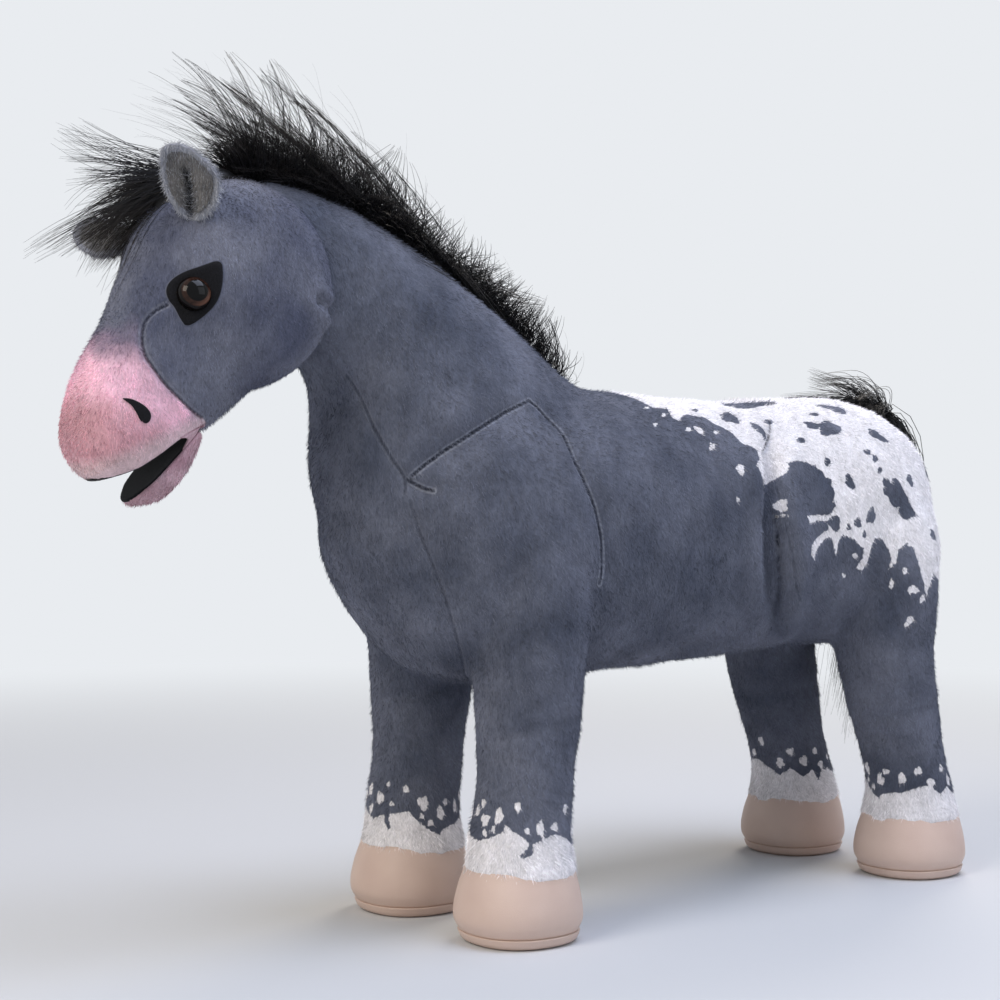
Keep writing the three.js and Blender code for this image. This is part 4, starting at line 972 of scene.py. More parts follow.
# Mouth lining, nostrils and eye patches
# Dense black felt, cut out and sewn on. It lines the roof and floor of the mouth, and makes the nostrils
# and the patches that frame the eyes.

# Pressed wool felt: dull black with a fluffy surface and next to no gloss
black_felt, tree = new_material("felt_black")
colour, fluff = mottled(tree, 1.11, "0d0d0f", "1c1c20", low=0.3, rough=0.7)
finish(tree, {"Base Color": colour, "Roughness": 0.95, "Sheen Weight": 0.12, "Specular IOR Level": 0.1},
       fluff, depth=0.4, strength=0.6)
for made in webs[1::2]:
    made.data.materials.append(black_felt)

roof_felt = new_object("mouth_roof_felt", *stuffed(
    [(a, b, c, d, e - 2.5) for a, b, c, d, e in FACE],
    rings=24, sides=48, square=2.4, start_round=0.14, end_round=0.2))
floor_felt = new_object("mouth_floor_felt", *stuffed(
    [(a, b, c, d, e - 2) for a, b, c, d, e in LOWER_LIP], rings=18, sides=40, end_round=0.35))
floor_line = [MOUTH_AT, MOUTH_AT + 110 * LIP_FLOOR]
for made, line, ahead, up, low, high, rides, node in (
        (roof_felt, ROOF_LINE, ROOF, ROOF_UP, -0.9, 2.2, "head", "palate_lining"),
        (floor_felt, floor_line, LIP_FLOOR, LIP_FLOOR_UP, -2.2, 0.8, "lower_lip", "lip_lining")):
    for edge, away in ((high, 250), (low, -250)):
        bound = [point + edge * up for point in (MOUTH_AT - 60 * ahead, *line)]
        carve(made, slab([*bound, bound[-1] + away * up, bound[0] + away * up]))
    front, back, wide = MOUTH_AT + 6 * ahead, MOUTH_AT - 194 * ahead, 60 * up
    carve(made, slab([front - wide, front + wide, back + wide, back - wide]))
    soften(made, 1.2, 2)
    made.data.materials.append(black_felt)
    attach(made, rides)
    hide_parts(node)

# A patch lies on the cheek: its outline in the side view, wrapped onto the head's skin
EYE_PATCH = [(19.4, 22.5), (20, 11.2), (18.2, 0), (14.3, -8.4), (6.3, -15.8), (-6.4, -23.2), (-10.4, -17.2),
             (-14.8, -7.4), (-18.4, -1.9), (-19, 4.2), (-15.6, 10.6), (-7.4, 15.1), (4.2, 17.6)]
NOSTRIL = [(-11, 9.2), (-5, 8.8), (0.8, 6.3), (5.9, 2.9), (9.1, -1.7), (8, -6.7), (4.6, -8.7), (0.8, -6.3),
           (-1.3, -1.3), (-5, 4.6), (-10, 8)]
low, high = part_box("nostril_left")
NOSTRIL_AT = (np.array(low) + np.array(high)) / 2 / MM + [0, 3.4, 0]    # a little behind the solid's middle
NOSTRIL_OUT = np.array([0.93, -0.36, 0.05])    # which way the left nostril faces
skull_skin = skin_of(skull)


def mirrored(point, side):
    """A place or way on the left side, on the right side if side is -1."""
    return point * [side, 1, 1]


def rounded(outline, times=3):
    """A closed outline with its corners cut off, several times over, until it is smooth."""
    points = np.asarray(outline, float)
    for _ in range(times):
        after = np.roll(points, -1, axis=0)
        points = np.stack([0.75 * points + 0.25 * after, 0.25 * points + 0.75 * after], 1).reshape(-1, 2)
    return points


def over_skin(outward):
    """The ways back and up along a skin that faces outward."""
    outward = outward / np.linalg.norm(outward)
    back = np.array([0, 1, 0]) - outward * outward[1]
    back = back / np.linalg.norm(back)
    up = np.cross(outward, back)
    return outward, back, up * np.sign(up[2])


def applique(name, outline, middle, outward, thickness, material, node):
    """A thin felt piece that follows the skin under it. Its outline is (back, up) in millimetres."""
    outward, back, up = over_skin(outward)
    edge = rounded(outline)
    rings = [1, 0.96, 0.8, 0.6, 0.4, 0.2]
    lifts = [0.2, 1, 1.06, 1.1, 1.1, 1.1]
    corners, faces = [], []

    def laid(a, b, lift):
        start = middle + back * a + up * b + outward * 40
        hit = skull_skin.ray_cast(Vector(start * MM), Vector(-outward))[0]
        return (np.array(hit) / MM if hit else start - outward * 40) + outward * lift

    for share, lift in zip(rings, lifts):
        corners += [laid(a * share, b * share, thickness * lift) for a, b in edge]
    corners.append(laid(0, 0, thickness * 1.1))
    corners += [laid(a, b, -1.5) for a, b in edge]
    count = len(edge)
    inmost = (len(rings) - 1) * count
    under = len(rings) * count + 1
    for k in range(count):
        n = (k + 1) % count
        faces += [(r + k, r + n, r + count + n, r + count + k) for r in range(0, inmost, count)]
        faces += [(inmost + k, inmost + n, inmost + count), (k, under + k, under + n, n)]
    faces.append(tuple(under + k for k in range(count)))
    made = shade(new_object(name, corners, faces))
    made.data.materials.append(material)
    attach(made, "head")
    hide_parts(node)


# A second, greyer felt shows as a thin edge round the patch
light_edge, tree = new_material("felt_grey_edge_under_patch")
_, fluff = mottled(tree, 1.11, "5b5e6c", "5b5e6c", low=0.3, rough=0.7)
finish(tree, {"Base Color": "5b5e6c", "Roughness": 0.95, "Specular IOR Level": 0.1},
       fluff, depth=0.3, strength=0.5)
wider = [(a * 1.025, b * 1.025) for a, b in EYE_PATCH]
for side, name in ((1, "left"), (-1, "right")):
    eye_at, eye_out = mirrored(EYE_AT, side), mirrored(EYE_OUT, side)
    applique(f"eye_patch_felt_{name}", EYE_PATCH, eye_at, eye_out, 1.3, black_felt, f"eye_patch_{name}")
    applique(f"eye_patch_edge_{name}", wider, eye_at, eye_out, 0.6, light_edge, f"eye_patch_{name}")
    applique(f"nostril_felt_{name}", NOSTRIL, mirrored(NOSTRIL_AT, side), mirrored(NOSTRIL_OUT, side), 1.0,
             black_felt, f"nostril_{name}")

# Eyes
# Moulded domes of clear plastic over a brown iris and black pupil. A stem behind each goes through its
# patch and the plush into a washer inside.
EYE_RADIUS = 12.2    # mm
DOME_SIDES = 48
# The iris's lighter brown there is painted light, standing for light gathered through the dome
GLOW_WAY = np.array([-0.1, 0.69, -0.72])    # back and down, where light gathers in the left iris
# Polished acrylic over paint: dark, with one sharp highlight, and a painted glow of lighter brown low in the
# iris
eye_gloss, tree = new_material("eye_plastic_brown_iris")
off_middle, painted_glow_side = [add(tree, "ShaderNodeAttribute", attribute_name=key).outputs["Fac"]
                        for key in ("off_middle", "painted_glow_side")]
brown, _ = mottled(tree, 2.38, "241611", "33211a", detail=2, rough=0.6)
glow = add(tree, "ShaderNodeMapRange", {"Value": painted_glow_side, "From Min": 0.1, "From Max": 0.75,
                                        "To Max": 0.9}, interpolation_type="SMOOTHSTEP")
brown = add(tree, "ShaderNodeMix", {0: glow, 6: brown, 7: "6b4839"}, data_type="RGBA").outputs[2]
# Pupil, iris and dark rim, by how far out each begins, as a share of the dome's radius
iris = "020203"
for low, high, paint in ((0.60, 0.66, brown), (0.80, 0.9, "0a0706")):
    share = add(tree, "ShaderNodeMapRange", {"Value": off_middle, "From Min": low, "From Max": high},
                interpolation_type="SMOOTHSTEP")
    iris = add(tree, "ShaderNodeMix", {0: share, 6: iris, 7: paint}, data_type="RGBA").outputs[2]
finish(tree, {"Base Color": iris, "Roughness": 0.06, "Specular IOR Level": 0.16})
# A dome from its back to its top: height in mm, and radius as a share of its widest
profile = [(-6, 0.98)] + [(9.5 * math.sin(a) - 1.5, math.cos(a)) for a in np.linspace(0, math.pi / 2, 18)]
for side, name in ((1, "left"), (-1, "right")):
    outward = Vector(mirrored(EYE_OUT, side)).normalized()
    aside = outward.orthogonal().normalized()
    upward = outward.cross(aside)
    centre = Vector(mirrored(EYE_AT, side)) + outward * 1.2
    corners, faces = [], []
    for lift, radius in profile[:-1]:
        for k in range(DOME_SIDES):
            t = 2 * math.pi * k / DOME_SIDES
            way = aside * math.cos(t) + upward * math.sin(t)
            corners.append(centre + outward * lift + way * radius * EYE_RADIUS)
    corners += [centre + outward * profile[0][0], centre + outward * profile[-1][0]]
    last = (len(profile) - 2) * DOME_SIDES
    for k in range(DOME_SIDES):
        n = (k + 1) % DOME_SIDES
        faces += [(r + k, r + n, r + DOME_SIDES + n, r + DOME_SIDES + k) for r in range(0, last, DOME_SIDES)]
        faces += [(last + DOME_SIDES, n, k), (last + DOME_SIDES + 1, last + k, last + n)]
    eye = shade(new_object(f"eye_dome_{name}", corners, faces))
    spots, _ = places_of(eye)
    off, out = spots - np.array(centre), np.array(outward)
    from_axis = np.linalg.norm(off - (off @ out)[:, None] * out, axis=1) / EYE_RADIUS
    # How far each point lies towards the painted glow
    low = off @ mirrored(GLOW_WAY, side) / EYE_RADIUS
    for key, value in (("off_middle", from_axis), ("painted_glow_side", low)):
        mark(eye, key, value)
    eye.data.materials.append(eye_gloss)
    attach(eye, "head")
    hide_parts(f"eye_{name}")

# Ears
# Two layers of plush, sewn and turned out, with a longer grey fleece in the cup. Each is sewn on along
# its root, where it folds.


def painted_fold_shade(tree, grey):
    """A colour that turns near black with painted shade in the fold where the ear is pinched."""
    off = add(tree, "ShaderNodeAttribute", attribute_name="off_fold").outputs["Fac"]
    share = add(tree, "ShaderNodeMapRange", {"Value": off, "From Min": 1, "From Max": 6,
                                             "To Min": 0.9, "To Max": 0}, interpolation_type="SMOOTHSTEP")
    return add(tree, "ShaderNodeMix", {0: share, 6: grey, 7: "1a1a1b"}, data_type="RGBA").outputs[2]


# The coat's plush again, unprinted: paler than the coat, with the same soft sheen
ear_plush, tree = new_material("plush_ear_outer")
pile, height = nap(tree, mottled(tree, 33.3, "797c86", "93959d")[0])
finish(tree, {"Base Color": pile, "Roughness": 0.92, "Sheen Weight": 0.35, "Sheen Roughness": 0.4,
              "Sheen Tint": "d2ced6", "Specular IOR Level": 0.12}, height, depth=0.9, strength=0.6)
# Sheared fleece: curlier and rougher than the plush, so it is duller and has more relief
ear_fleece, tree = new_material("fleece_ear_lining")
pile, height = nap(tree, mottled(tree, 16.7, "626162", "7d7b7a")[0])
# The fleece gets painted shade in its fold
finish(tree, {"Base Color": painted_fold_shade(tree, pile), "Roughness": 0.95, "Sheen Weight": 0.3,
              "Sheen Roughness": 0.45, "Specular IOR Level": 0.1}, height, depth=1.6, strength=0.8)


# Each ear's root, the ways it points and faces, its outline seen from its front (aside, up from its
# root) and the fold down its middle, in mm
EARS = {
    "left": ((41, -356.1, 531.4), (0.28222, -0.18814, 0.94072), (0.74866, -0.56996, -0.33859), [
        (-22.9, 50.9), (-17.2, 54.2), (-7.9, 54.4), (1.1, 50.4), (10, 42.4), (18.1, 34.2), (20.6, 25),
        (18.4, 13.8), (13.4, 4), (6.8, -2), (-0.8, -4), (-7.2, -1), (-14.4, 7.5), (-19.7, 15.9),
        (-22.8, 28.8), (-23.6, 42.6),
    ], [(-5.5, 33), (-3, 22), (-2.5, -2)]),
    "right": ((-41, -356.1, 531.4), (-0.86875, -0.4865, -0.09267), (0.42942, -0.83319, 0.34841), [
        (-15, 34), (-10.5, 48), (-0.2, 60.4), (9, 64.7), (17.1, 62.4), (21.5, 53.2), (20.9, 40.4), (16, 28.6),
        (10, 15), (5, -2), (-2, -4), (-9, 4), (-13.5, 18),
    ], [(6, 42), (3, 26), (0, 0)]),
}


def ear_form(foot, upward, facing, outline, fold, reach, front, back):
    """A cupped ear over its outline. front and back give its two sides' heights off its plane."""
    upward, facing = np.array(upward), np.array(facing)
    sideways = np.cross(upward, facing)
    edge = rounded(outline, 2)
    middle = edge.mean(0)
    edge = middle + 0.93 * (edge - middle)
    rings = [1, 0.94, 0.84, 0.72, 0.6, 0.48, 0.36, 0.24, 0.12]
    flat = np.vstack([middle + (edge - middle) * reach * ring for ring in rings] + [middle[None]])
    share = np.repeat([*rings, 0], [*[len(edge)] * len(rings), 1])
    gap, _ = distance_to(np.column_stack([flat, np.zeros(len(flat))]), [(*spot, 0) for spot in fold])
    corners = []
    for height in (front(share, gap, flat[:, 1]), back(share, gap, flat[:, 1])):
        off = flat[:, :1] * sideways + flat[:, 1:] * upward + height[:, None] * facing
        corners.append(np.array(foot) + off)
    count, last = len(edge), len(flat) - 1
    faces = []
    for base in (0, last + 1):
        for k in range(count):
            n = (k + 1) % count
            faces += [(base + r + k, base + r + n, base + r + count + n, base + r + count + k)
                      for r in range(0, last - count, count)]
            faces.append((base + last - count + k, base + last - count + n, base + last))
    faces += [(k, (k + 1) % count, last + 1 + (k + 1) % count, last + 1 + k) for k in range(count)]
    return np.vstack(corners), faces


def ear_front(share, gap, up):
    """The cup in the ear's front, pinched along its fold, with a soft lobe on each side near the root."""
    low = np.clip(1.15 - up / 34, 0, 1)
    lobes = 4.5 * np.exp(-(((gap - 8) / 5) ** 2)) * low * (1 - share**6)
    return 3.2 - 7.5 * (1 - share**2.4) - 6 * np.exp(-((gap / 2.8) ** 2)) * (1 - share**12) + lobes


LINING_REACH = 0.8   # of the way from the ear's middle to its edge


def lining_front(share, gap, up):
    """The fleece's face, a little above the cup."""
    return ear_front(share * LINING_REACH, gap, up) + 0.9


def lining_back(share, gap, up):
    """The fleece's back, sunk into the cup."""
    return ear_front(share * LINING_REACH, gap, up) - 1.6


def ear_back(share, gap, up):
    """The ear's back, a low dome."""
    return -3.4 - 8 * (1 - share**2)


for name, (foot, upward, facing, outline, fold) in EARS.items():
    shape = foot, upward, facing, outline, fold
    ear = new_object(f"ear_plush_{name}", *ear_form(*shape, 1, ear_front, ear_back))
    soften(ear, 1.2, 5)
    lining = new_object(f"ear_fleece_{name}", *ear_form(*shape, LINING_REACH, lining_front, lining_back))
    soften(lining, 0.9, 3)
    spots, _ = places_of(lining)
    aside, high = (spots - foot) @ np.cross(upward, facing), (spots - foot) @ np.array(upward)
    off, _ = distance_to(np.column_stack([aside, high, np.zeros(len(spots))]), [(*spot, 0) for spot in fold])
    # The far ear is turned, so less of its fold gets the painted shade
    off += 4 if name == "right" else 0    # the far ear is turned, so less of its fold is dark
    mark(lining, "off_fold", off)
    for made, material, slot_name, node in ((ear, ear_plush, "coat_plush", f"ear_{name}"),
                                            (lining, ear_fleece, "ear_fleece", f"ear_lining_{name}")):
        made.data.materials.append(material)
        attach(made, f"{name}_ear")
        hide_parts(node)

# Hooves and soles
# Soft tan leatherette, drawn tight over filling and over a flat board that keeps the toy standing.
# The sole is a second piece of it, sewn on by a turned seam just above the floor.
# A front hoof and its sole, as in TRUNK
HOOF = [(-51.9, 8.9, -139.5, 8.9, 43.6), (-48.2, 17, -144, 17, 46.8), (-48.4, 25, -144.4, 25, 47.2),
        (-50.6, 40, -141.4, 40, 44.8), (-54.4, 57, -135.6, 57, 39.6)]
SOLE = [(-58.8, -0.5, -132, -0.5, 36.6), (-52.8, 2.6, -137.9, 2.6, 42.6), (-50.6, 8.5, -140.7, 8.5, 45.3)]
HOOF_STRIDE = 449    # mm, from a front hoof back to a hind one
# Coated fabric embossed with a fine grain: a low, broad gloss, and an even colour
leatherette, tree = new_material("leatherette_tan")
place = add(tree, "ShaderNodeTexCoord").outputs["Object"]
grain = add(tree, "ShaderNodeTexVoronoi", {"Vector": place, "Scale": 1 / (0.91 * MM)})
tone, _ = mottled(tree, 45.5, "d0b6a9", "dac2b4", low=0.3)
finish(tree, {"Base Color": tone, "Roughness": 0.5, "Specular IOR Level": 0.35, "Sheen Weight": 0.05},
       grain, depth=0.15, strength=0.5)
for pair, back in (("front", 0), ("hind", HOOF_STRIDE)):
    for side, name in ((1, "left"), (-1, "right")):
        for kind, form, rings in (("hoof", HOOF, 26), ("sole", SOLE, 14)):
            stations = [(a + back, b, c + back, d, e) for a, b, c, d, e in form]
            made = new_object(f"{pair}_{kind}_leatherette_{name}",
                              *stuffed(stations, side * LEG_X, rings=rings, sides=72, square=2.3))
            spots, _ = places_of(made)
            spots[:, 2] = np.maximum(spots[:, 2], 0)    # flat where it stands on the floor
            set_places(made, spots)
            shade(made).data.materials.append(leatherette)
            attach(made, "horse_body")
            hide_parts(f"{pair}_{kind}_{name}")


# Mane, forelock and tail
# Long black fibres, sewn in a strip along the crest, at the poll and on the dock. Short ones lie dense
# at their roots, so that no plush shows between them.
CREST = np.array([    # mm, the line that the mane is sewn along, from the poll to the withers
    (0, -302, 570), (0, -289.5, 571.5), (0, -246.4, 566.6), (0, -202.4, 554.4), (0, -156.5, 531.5),
    (0, -108.4, 503.5), (0, -59.3, 470.5), (0, -17.4, 440.4), (0, 6, 430)], float)
HIGHEST = 662        # mm, tips of the longest hairs
draw = np.random.default_rng(11)

# Dyed acrylic fibre: near black, with a weak gloss along each strand, and faded brown at the tips. Real
# ones are 0.06 mm thick; each strand here stands for a few of them that cling together.
black_hair, tree = new_material("fibre_hair_black")
tone, along = [add(tree, "ShaderNodeAttribute", attribute_name=key).outputs["Fac"]
               for key in ("tone", "along")]
dark = add(tree, "ShaderNodeMix", {0: tone, 6: "070709", 7: "17171b"}, data_type="RGBA").outputs[2]
faded = add(tree, "ShaderNodeMapRange", {"Value": along, "From Min": 0.55, "To Max": 0.4})
dark = add(tree, "ShaderNodeMix", {0: faded, 6: dark, 7: "332b27"}, data_type="RGBA").outputs[2]
finish(tree, {"Base Color": dark, "Roughness": 0.45, "Specular IOR Level": 0.24})


def named_inputs(group, kinds):
    """Adds named inputs to a geometry tree, and its geometry output. Gives each input's identifier."""
    group.interface.new_socket("Geometry", in_out="OUTPUT", socket_type="NodeSocketGeometry")
    group.interface.new_socket("Geometry", in_out="INPUT", socket_type="NodeSocketGeometry")
    found = {}
    for key, kind in kinds.items():
        made = group.interface.new_socket(key, in_out="INPUT", socket_type="NodeSocket" + kind)
        found[key] = made.identifier
    return found


strand_tree = bpy.data.node_groups.new("strands_along_lines", "GeometryNodeTree")
strand_inputs = named_inputs(strand_tree, {"Strand radius": "Float", "Material": "Material"})
given = add(strand_tree, "NodeGroupInput")
line = add(strand_tree, "GeometryNodeMeshToCurve", {"Mesh": given.outputs["Geometry"]})
taper = add(strand_tree, "GeometryNodeInputNamedAttribute", {"Name": "taper"}, data_type="FLOAT")
radius = add(strand_tree, "ShaderNodeMath", {
    0: taper.outputs["Attribute"], 1: given.outputs["Strand radius"]}, operation="MULTIPLY").outputs[0]
line = add(strand_tree, "GeometryNodeSetCurveRadius", {"Curve": line, "Radius": radius})
profile = add(strand_tree, "GeometryNodeCurvePrimitiveCircle", {"Resolution": 3, "Radius": 1.0})
tube = add(strand_tree, "GeometryNodeCurveToMesh", {
    "Curve": line, "Profile Curve": profile, "Fill Caps": True})
if "Scale" in tube.inputs:
    strand_tree.links.new(radius, tube.inputs["Scale"])
tube = add(strand_tree, "GeometryNodeRealizeInstances", {"Geometry": tube})
tube = add(strand_tree, "GeometryNodeSetMaterial", {"Geometry": tube, "Material": given.outputs["Material"]})
add(strand_tree, "NodeGroupOutput", {"Geometry": tube})


def strands(name, lines, radius, body_name, tip_share=0.2):
    """Black strands that taper to a share of their radius, along lines (strand, point, axis) in mm."""
    count, steps = lines.shape[:2]
    index = np.arange(count * steps).reshape(count, steps)
    edges = np.stack([index[:, :-1], index[:, 1:]], -1).reshape(-1, 2)
    mesh = bpy.data.meshes.new(name)
    mesh.from_pydata((lines.reshape(-1, 3) * MM).tolist(), edges.tolist(), [])
    made = bpy.data.objects.new(name, mesh)
    bpy.context.scene.collection.objects.link(made)
    share = np.tile(np.linspace(0, 1, steps), count)
    mark(made, "taper", 1 + (tip_share - 1) * share**1.6)
    mark(made, "along", share)
    mark(made, "tone", np.repeat(draw.random(count) ** 1.5, steps))
    grown = made.modifiers.new("strands", "NODES")
    grown.node_group = strand_tree
    grown[strand_inputs["Strand radius"]] = radius * MM
    grown[strand_inputs["Material"]] = black_hair
    shade(baked(made))
    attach(made, body_name)


def dense_base(name, stations, body_name, node, **form):
    """The short fibres at the roots of the long ones, as one black form."""
    made = shade(new_object(name, *stuffed(stations, square=2, **form)))
    made.data.materials.append(black_hair)
    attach(made, body_name)
    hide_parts(node)


def grown_lines(roots, aims, lengths, bends, steps, locks, tightness, curl, wave, gather):
    """Lines from roots that start along their aims and bend steadily.

    locks is how many locks they are drawn into, or 0; tightness is how far a lock's lines follow its
    first one, and gather how far they close up to it; curl turns whole locks, and wave each line.
    """
    count = len(roots)
    aims = aims / np.linalg.norm(aims, axis=1)[:, None]
    lines = np.zeros((count, steps, 3))
    lines[:, 0] = roots
    heading = aims.copy()
    for k in range(1, steps):
        heading = heading + (bends + draw.normal(0, wave, (count, 3))) / (steps - 1)
        heading /= np.linalg.norm(heading, axis=1)[:, None]
        lines[:, k] = lines[:, k - 1] + heading * (lengths / (steps - 1))[:, None]
    share = np.linspace(0, 1, steps)[None, :, None] ** 0.55
    for lock in range(locks):
        own = np.arange(count) % locks == lock
        leader = lines[own][0]
        twist = draw.normal(0, curl, 3) * lengths[own][:, None]
        shift = (leader - leader[0]) - (lines[own] - lines[own][:, :1])
        pull = tightness * share * shift
        drift = (leader[0] - lines[own][:, :1]) * share * tightness * gather
        lines[own] = lines[own] + pull + drift + (share**2) * twist[:, None]
    return lines


def kept_out(lines, skin, gap):
    """Moves points that are inside a skin, or nearer to it than a gap in mm, out to the gap."""
    flat = lines.reshape(-1, 3)
    for k, point in enumerate(flat):
        hit, normal, _, _ = skin.find_nearest(Vector(point) * MM, 0.05)
        if hit is not None:
            off = (Vector(point) * MM - hit).dot(normal) / MM
            if off < gap:
                flat[k] = np.array(hit) / MM + np.array(normal) * gap
    return flat.reshape(lines.shape)


def below_top(lines):
    """Shortens the strands whose tips would stand too high."""
    root, top = lines[:, 0, 2], lines[:, :, 2].max(1)
    share = (HIGHEST - root) * draw.uniform(0.86, 1, len(lines)) / np.maximum(top - root, 1)
    return lines[:, :1] + (lines - lines[:, :1]) * np.minimum(1, share)[:, None, None]


def by_share(share, table):
    """A value at each share of the way along an evenly spaced table."""
    return np.interp(share, np.linspace(0, 1, len(table)), table)


def crest_strands(count, spread, long, aside, behind, droop, jitter, steps, locks,
                  tightness=0, curl=0, wave=0, gather=0, blow=1.0):
    """Strands along the crest, rooted up to spread mm off its middle.

    long and behind give their lengths in mm and how far they lean back, from the poll to the withers;
    aside is how far they lean outwards, and blow how far the wind carries them forwards.
    """
    share = np.sort(draw.random(count))
    if locks:
        # Lines of one lock, every locks-th in the list, are rooted beside each other
        order = np.arange(count)
        share = share[np.argsort((order * locks // count) + locks * (order % max(1, count // locks)))]
    else:
        share = share[draw.permutation(count)]
    at = share * (len(CREST) - 1)
    low = np.minimum(at.astype(int), len(CREST) - 2)
    roots = CREST[low] + (CREST[low + 1] - CREST[low]) * (at - low)[:, None]
    side = draw.uniform(-1, 1, count)
    roots[:, 0] += side * spread
    roots[:, 2] -= 1 + 5 * np.abs(side)
    aims = np.column_stack([side * aside + draw.normal(0, jitter, count),
                            by_share(share, behind) + draw.normal(0, jitter, count),
                            np.ones(count)])
    lengths = by_share(share, long)
    if locks:
        lock = np.arange(count) % locks
        lengths = lengths * (0.45 + 0.65 * draw.random(locks) ** 0.8)[lock] * draw.uniform(0.8, 1, count)
        aims[:, :2] += draw.normal(0, 1.6 * jitter, (locks, 2))[lock]
    else:
        lengths = lengths * draw.uniform(0.55, 1.1, count)
    blown = by_share(share, [-1.5, -1.7, -1.9, -2, -2.1, -2.2, -2.3, -2.2])
    bends = np.column_stack([side * 0.3, draw.normal(0, 0.25, count) + blow * blown,
                             -droop * draw.uniform(0.3, 1.4, count)])
    return grown_lines(roots, aims, lengths, bends, steps, locks, tightness, curl, wave, gather)


base = crest_strands(
    6800, 10, [48, 56, 60, 60, 60, 62, 58, 44], 0.8, [-0.1, 0, 0.1, 0.2, 0.35, 0.5, 0.6, 0.6],
    droop=0.5, jitter=0.15, steps=8, locks=150, tightness=0.72, curl=0.2, wave=0.8, gather=0.6, blow=0.55)
base = kept_out(base, body_skin, 0.8)
upper_half = base[:, 0, 1] < np.median(base[:, 0, 1])
strands("mane_base_hair_upper", base[upper_half], 0.42, "horse_body")
strands("mane_base_hair_lower", base[~upper_half], 0.42, "horse_body")
long = crest_strands(
    1700, 7, [112, 120, 124, 116, 94, 76, 66, 50], 0.3, [0.1, 0.2, 0.3, 0.4, 0.6, 0.8, 1, 1],
    droop=0.2, jitter=0.1, steps=13, locks=92, tightness=0.96, curl=0.16, wave=0.35, gather=0.93)
strands("mane_long_hair", below_top(kept_out(long, body_skin, 0.8)), 0.27, "horse_body", tip_share=0.4)
stray = crest_strands(
    520, 9, [104, 112, 116, 104, 84, 68, 58, 44], 0.6, [0, 0.15, 0.25, 0.35, 0.5, 0.7, 0.9, 0.9],
    droop=0.2, jitter=0.3, steps=13, locks=0, wave=0.9)
strands("mane_stray_hair", below_top(kept_out(stray, body_skin, 0.8)), 0.13, "horse_body")
core = [(y, z + h, y, z - 7, 10) for (_, y, z), h in zip(CREST, [13, 18, 21, 22, 21, 20, 18, 13, 4])]
dense_base("mane_dense_base", core, "horse_body", "mane", rings=40, sides=20, start_round=0.06, end_round=0.1)

# Forelock: from the poll, blown forwards over the forehead and the far ear
FOREMOST = -462      # mm, as far forward as its tips reach
count = 1700
side = draw.uniform(-1, 1, count)
roots = np.column_stack([side * 21, draw.uniform(-336, -300, count), np.zeros(count)])
roots[:, 2] = 569 - 0.010 * roots[:, 0] ** 2 - 0.25 * np.maximum(0, -roots[:, 1] - 322)
lengths = 36 + 92 * draw.random(count) ** 1.7
aims = np.column_stack([side * 0.42 + draw.normal(-0.04, 0.2, count), -1 + draw.normal(0, 0.12, count),
                        0.12 + draw.normal(0, 0.26, count)])
bends = np.column_stack([side * 0.1, np.full(count, -0.3), draw.normal(-1.25, 0.45, count)])
order = np.argsort(side + draw.normal(0, 0.15, count))
fore = grown_lines(roots[order], aims[order], lengths[order], bends[order], steps=11, locks=62,
                   tightness=0.85, curl=0.14, wave=0.25, gather=0.8)
fore[:, :, 1] = np.maximum(fore[:, :, 1], FOREMOST)
strands("forelock_hair", kept_out(fore, skull_skin, 0.8), 0.33, "head")
core = [(-300, 574, -300, 560, 14), (-325, 577, -318, 558, 22), (-350, 566, -340, 548, 22),
        (-372, 546, -362, 535, 15)]
dense_base("forelock_dense_base", core, "head", "forelock", rings=14, sides=24,
           start_round=0.25, end_round=0.3)

# Tail: hangs from the end of the dock behind the rump, with a tuft that curls forward over it
DOCK_TIP = np.array([0, 387.9, 412.2])    # mm, where the hair is sewn on
HINDMOST = 452       # mm, as far back as the hanging hair reaches
TAIL_LOCKS = 48
count = 1700
side = draw.uniform(-1, 1, count)
roots = DOCK_TIP + np.column_stack([side * 11, draw.uniform(-4, 12, count), draw.uniform(-9, 12, count)])
lengths = draw.uniform(205, 312, count)
aims = np.column_stack([side * 0.5 + draw.normal(0, 0.2, count), 0.85 + draw.normal(0, 0.3, count),
                        0.25 + draw.normal(0, 0.35, count)])
blown_forward = (np.arange(count) % TAIL_LOCKS) % 3 == 0
bends = np.column_stack([-side * 0.4, np.where(blown_forward, -3.2, draw.normal(-0.9, 0.5, count)),
                         np.full(count, -14.0)])
hanging = grown_lines(roots, aims, lengths, bends, steps=15, locks=TAIL_LOCKS,
                      tightness=0.5, curl=0.02, wave=1.6, gather=0.4)
hanging[:, :, 1] = np.minimum(hanging[:, :, 1], HINDMOST)
# Every second point is enough below the bend
hanging = kept_out(hanging, body_skin, 2)[:, [0, 1, 2, 3, 4, 5, 6, 8, 10, 12, 14]]
strands("tail_hanging_hair", hanging, 0.4, "tail")
count = 620
side = draw.uniform(-1, 1, count)
roots = DOCK_TIP + np.column_stack([side * 10, draw.uniform(-10, 12, count), draw.uniform(-8, 8, count)])
aims = np.column_stack([side * 0.4 + draw.normal(0, 0.2, count), draw.normal(0.25, 0.35, count),
                        np.ones(count)])
bends = np.column_stack([side * 0.15, draw.normal(-5.2, 0.9, count), draw.normal(-1.9, 0.7, count)])
tuft = grown_lines(roots, aims, 40 + 86 * draw.random(count) ** 1.2, bends, steps=15, locks=24,
                   tightness=0.93, curl=0.15, wave=0.4, gather=0.9)
strands("tail_tuft_hair", kept_out(tuft, body_skin, 1.5), 0.32, "tail")
core = [(384, 424, 396, 404, 9), (398, 422, 402, 398, 11), (412, 396, 402, 384, 13), (416, 350, 404, 350, 13),
        (414, 270, 404, 270, 12), (409, 200, 402, 200, 8), (406, 160, 403, 160, 4)]
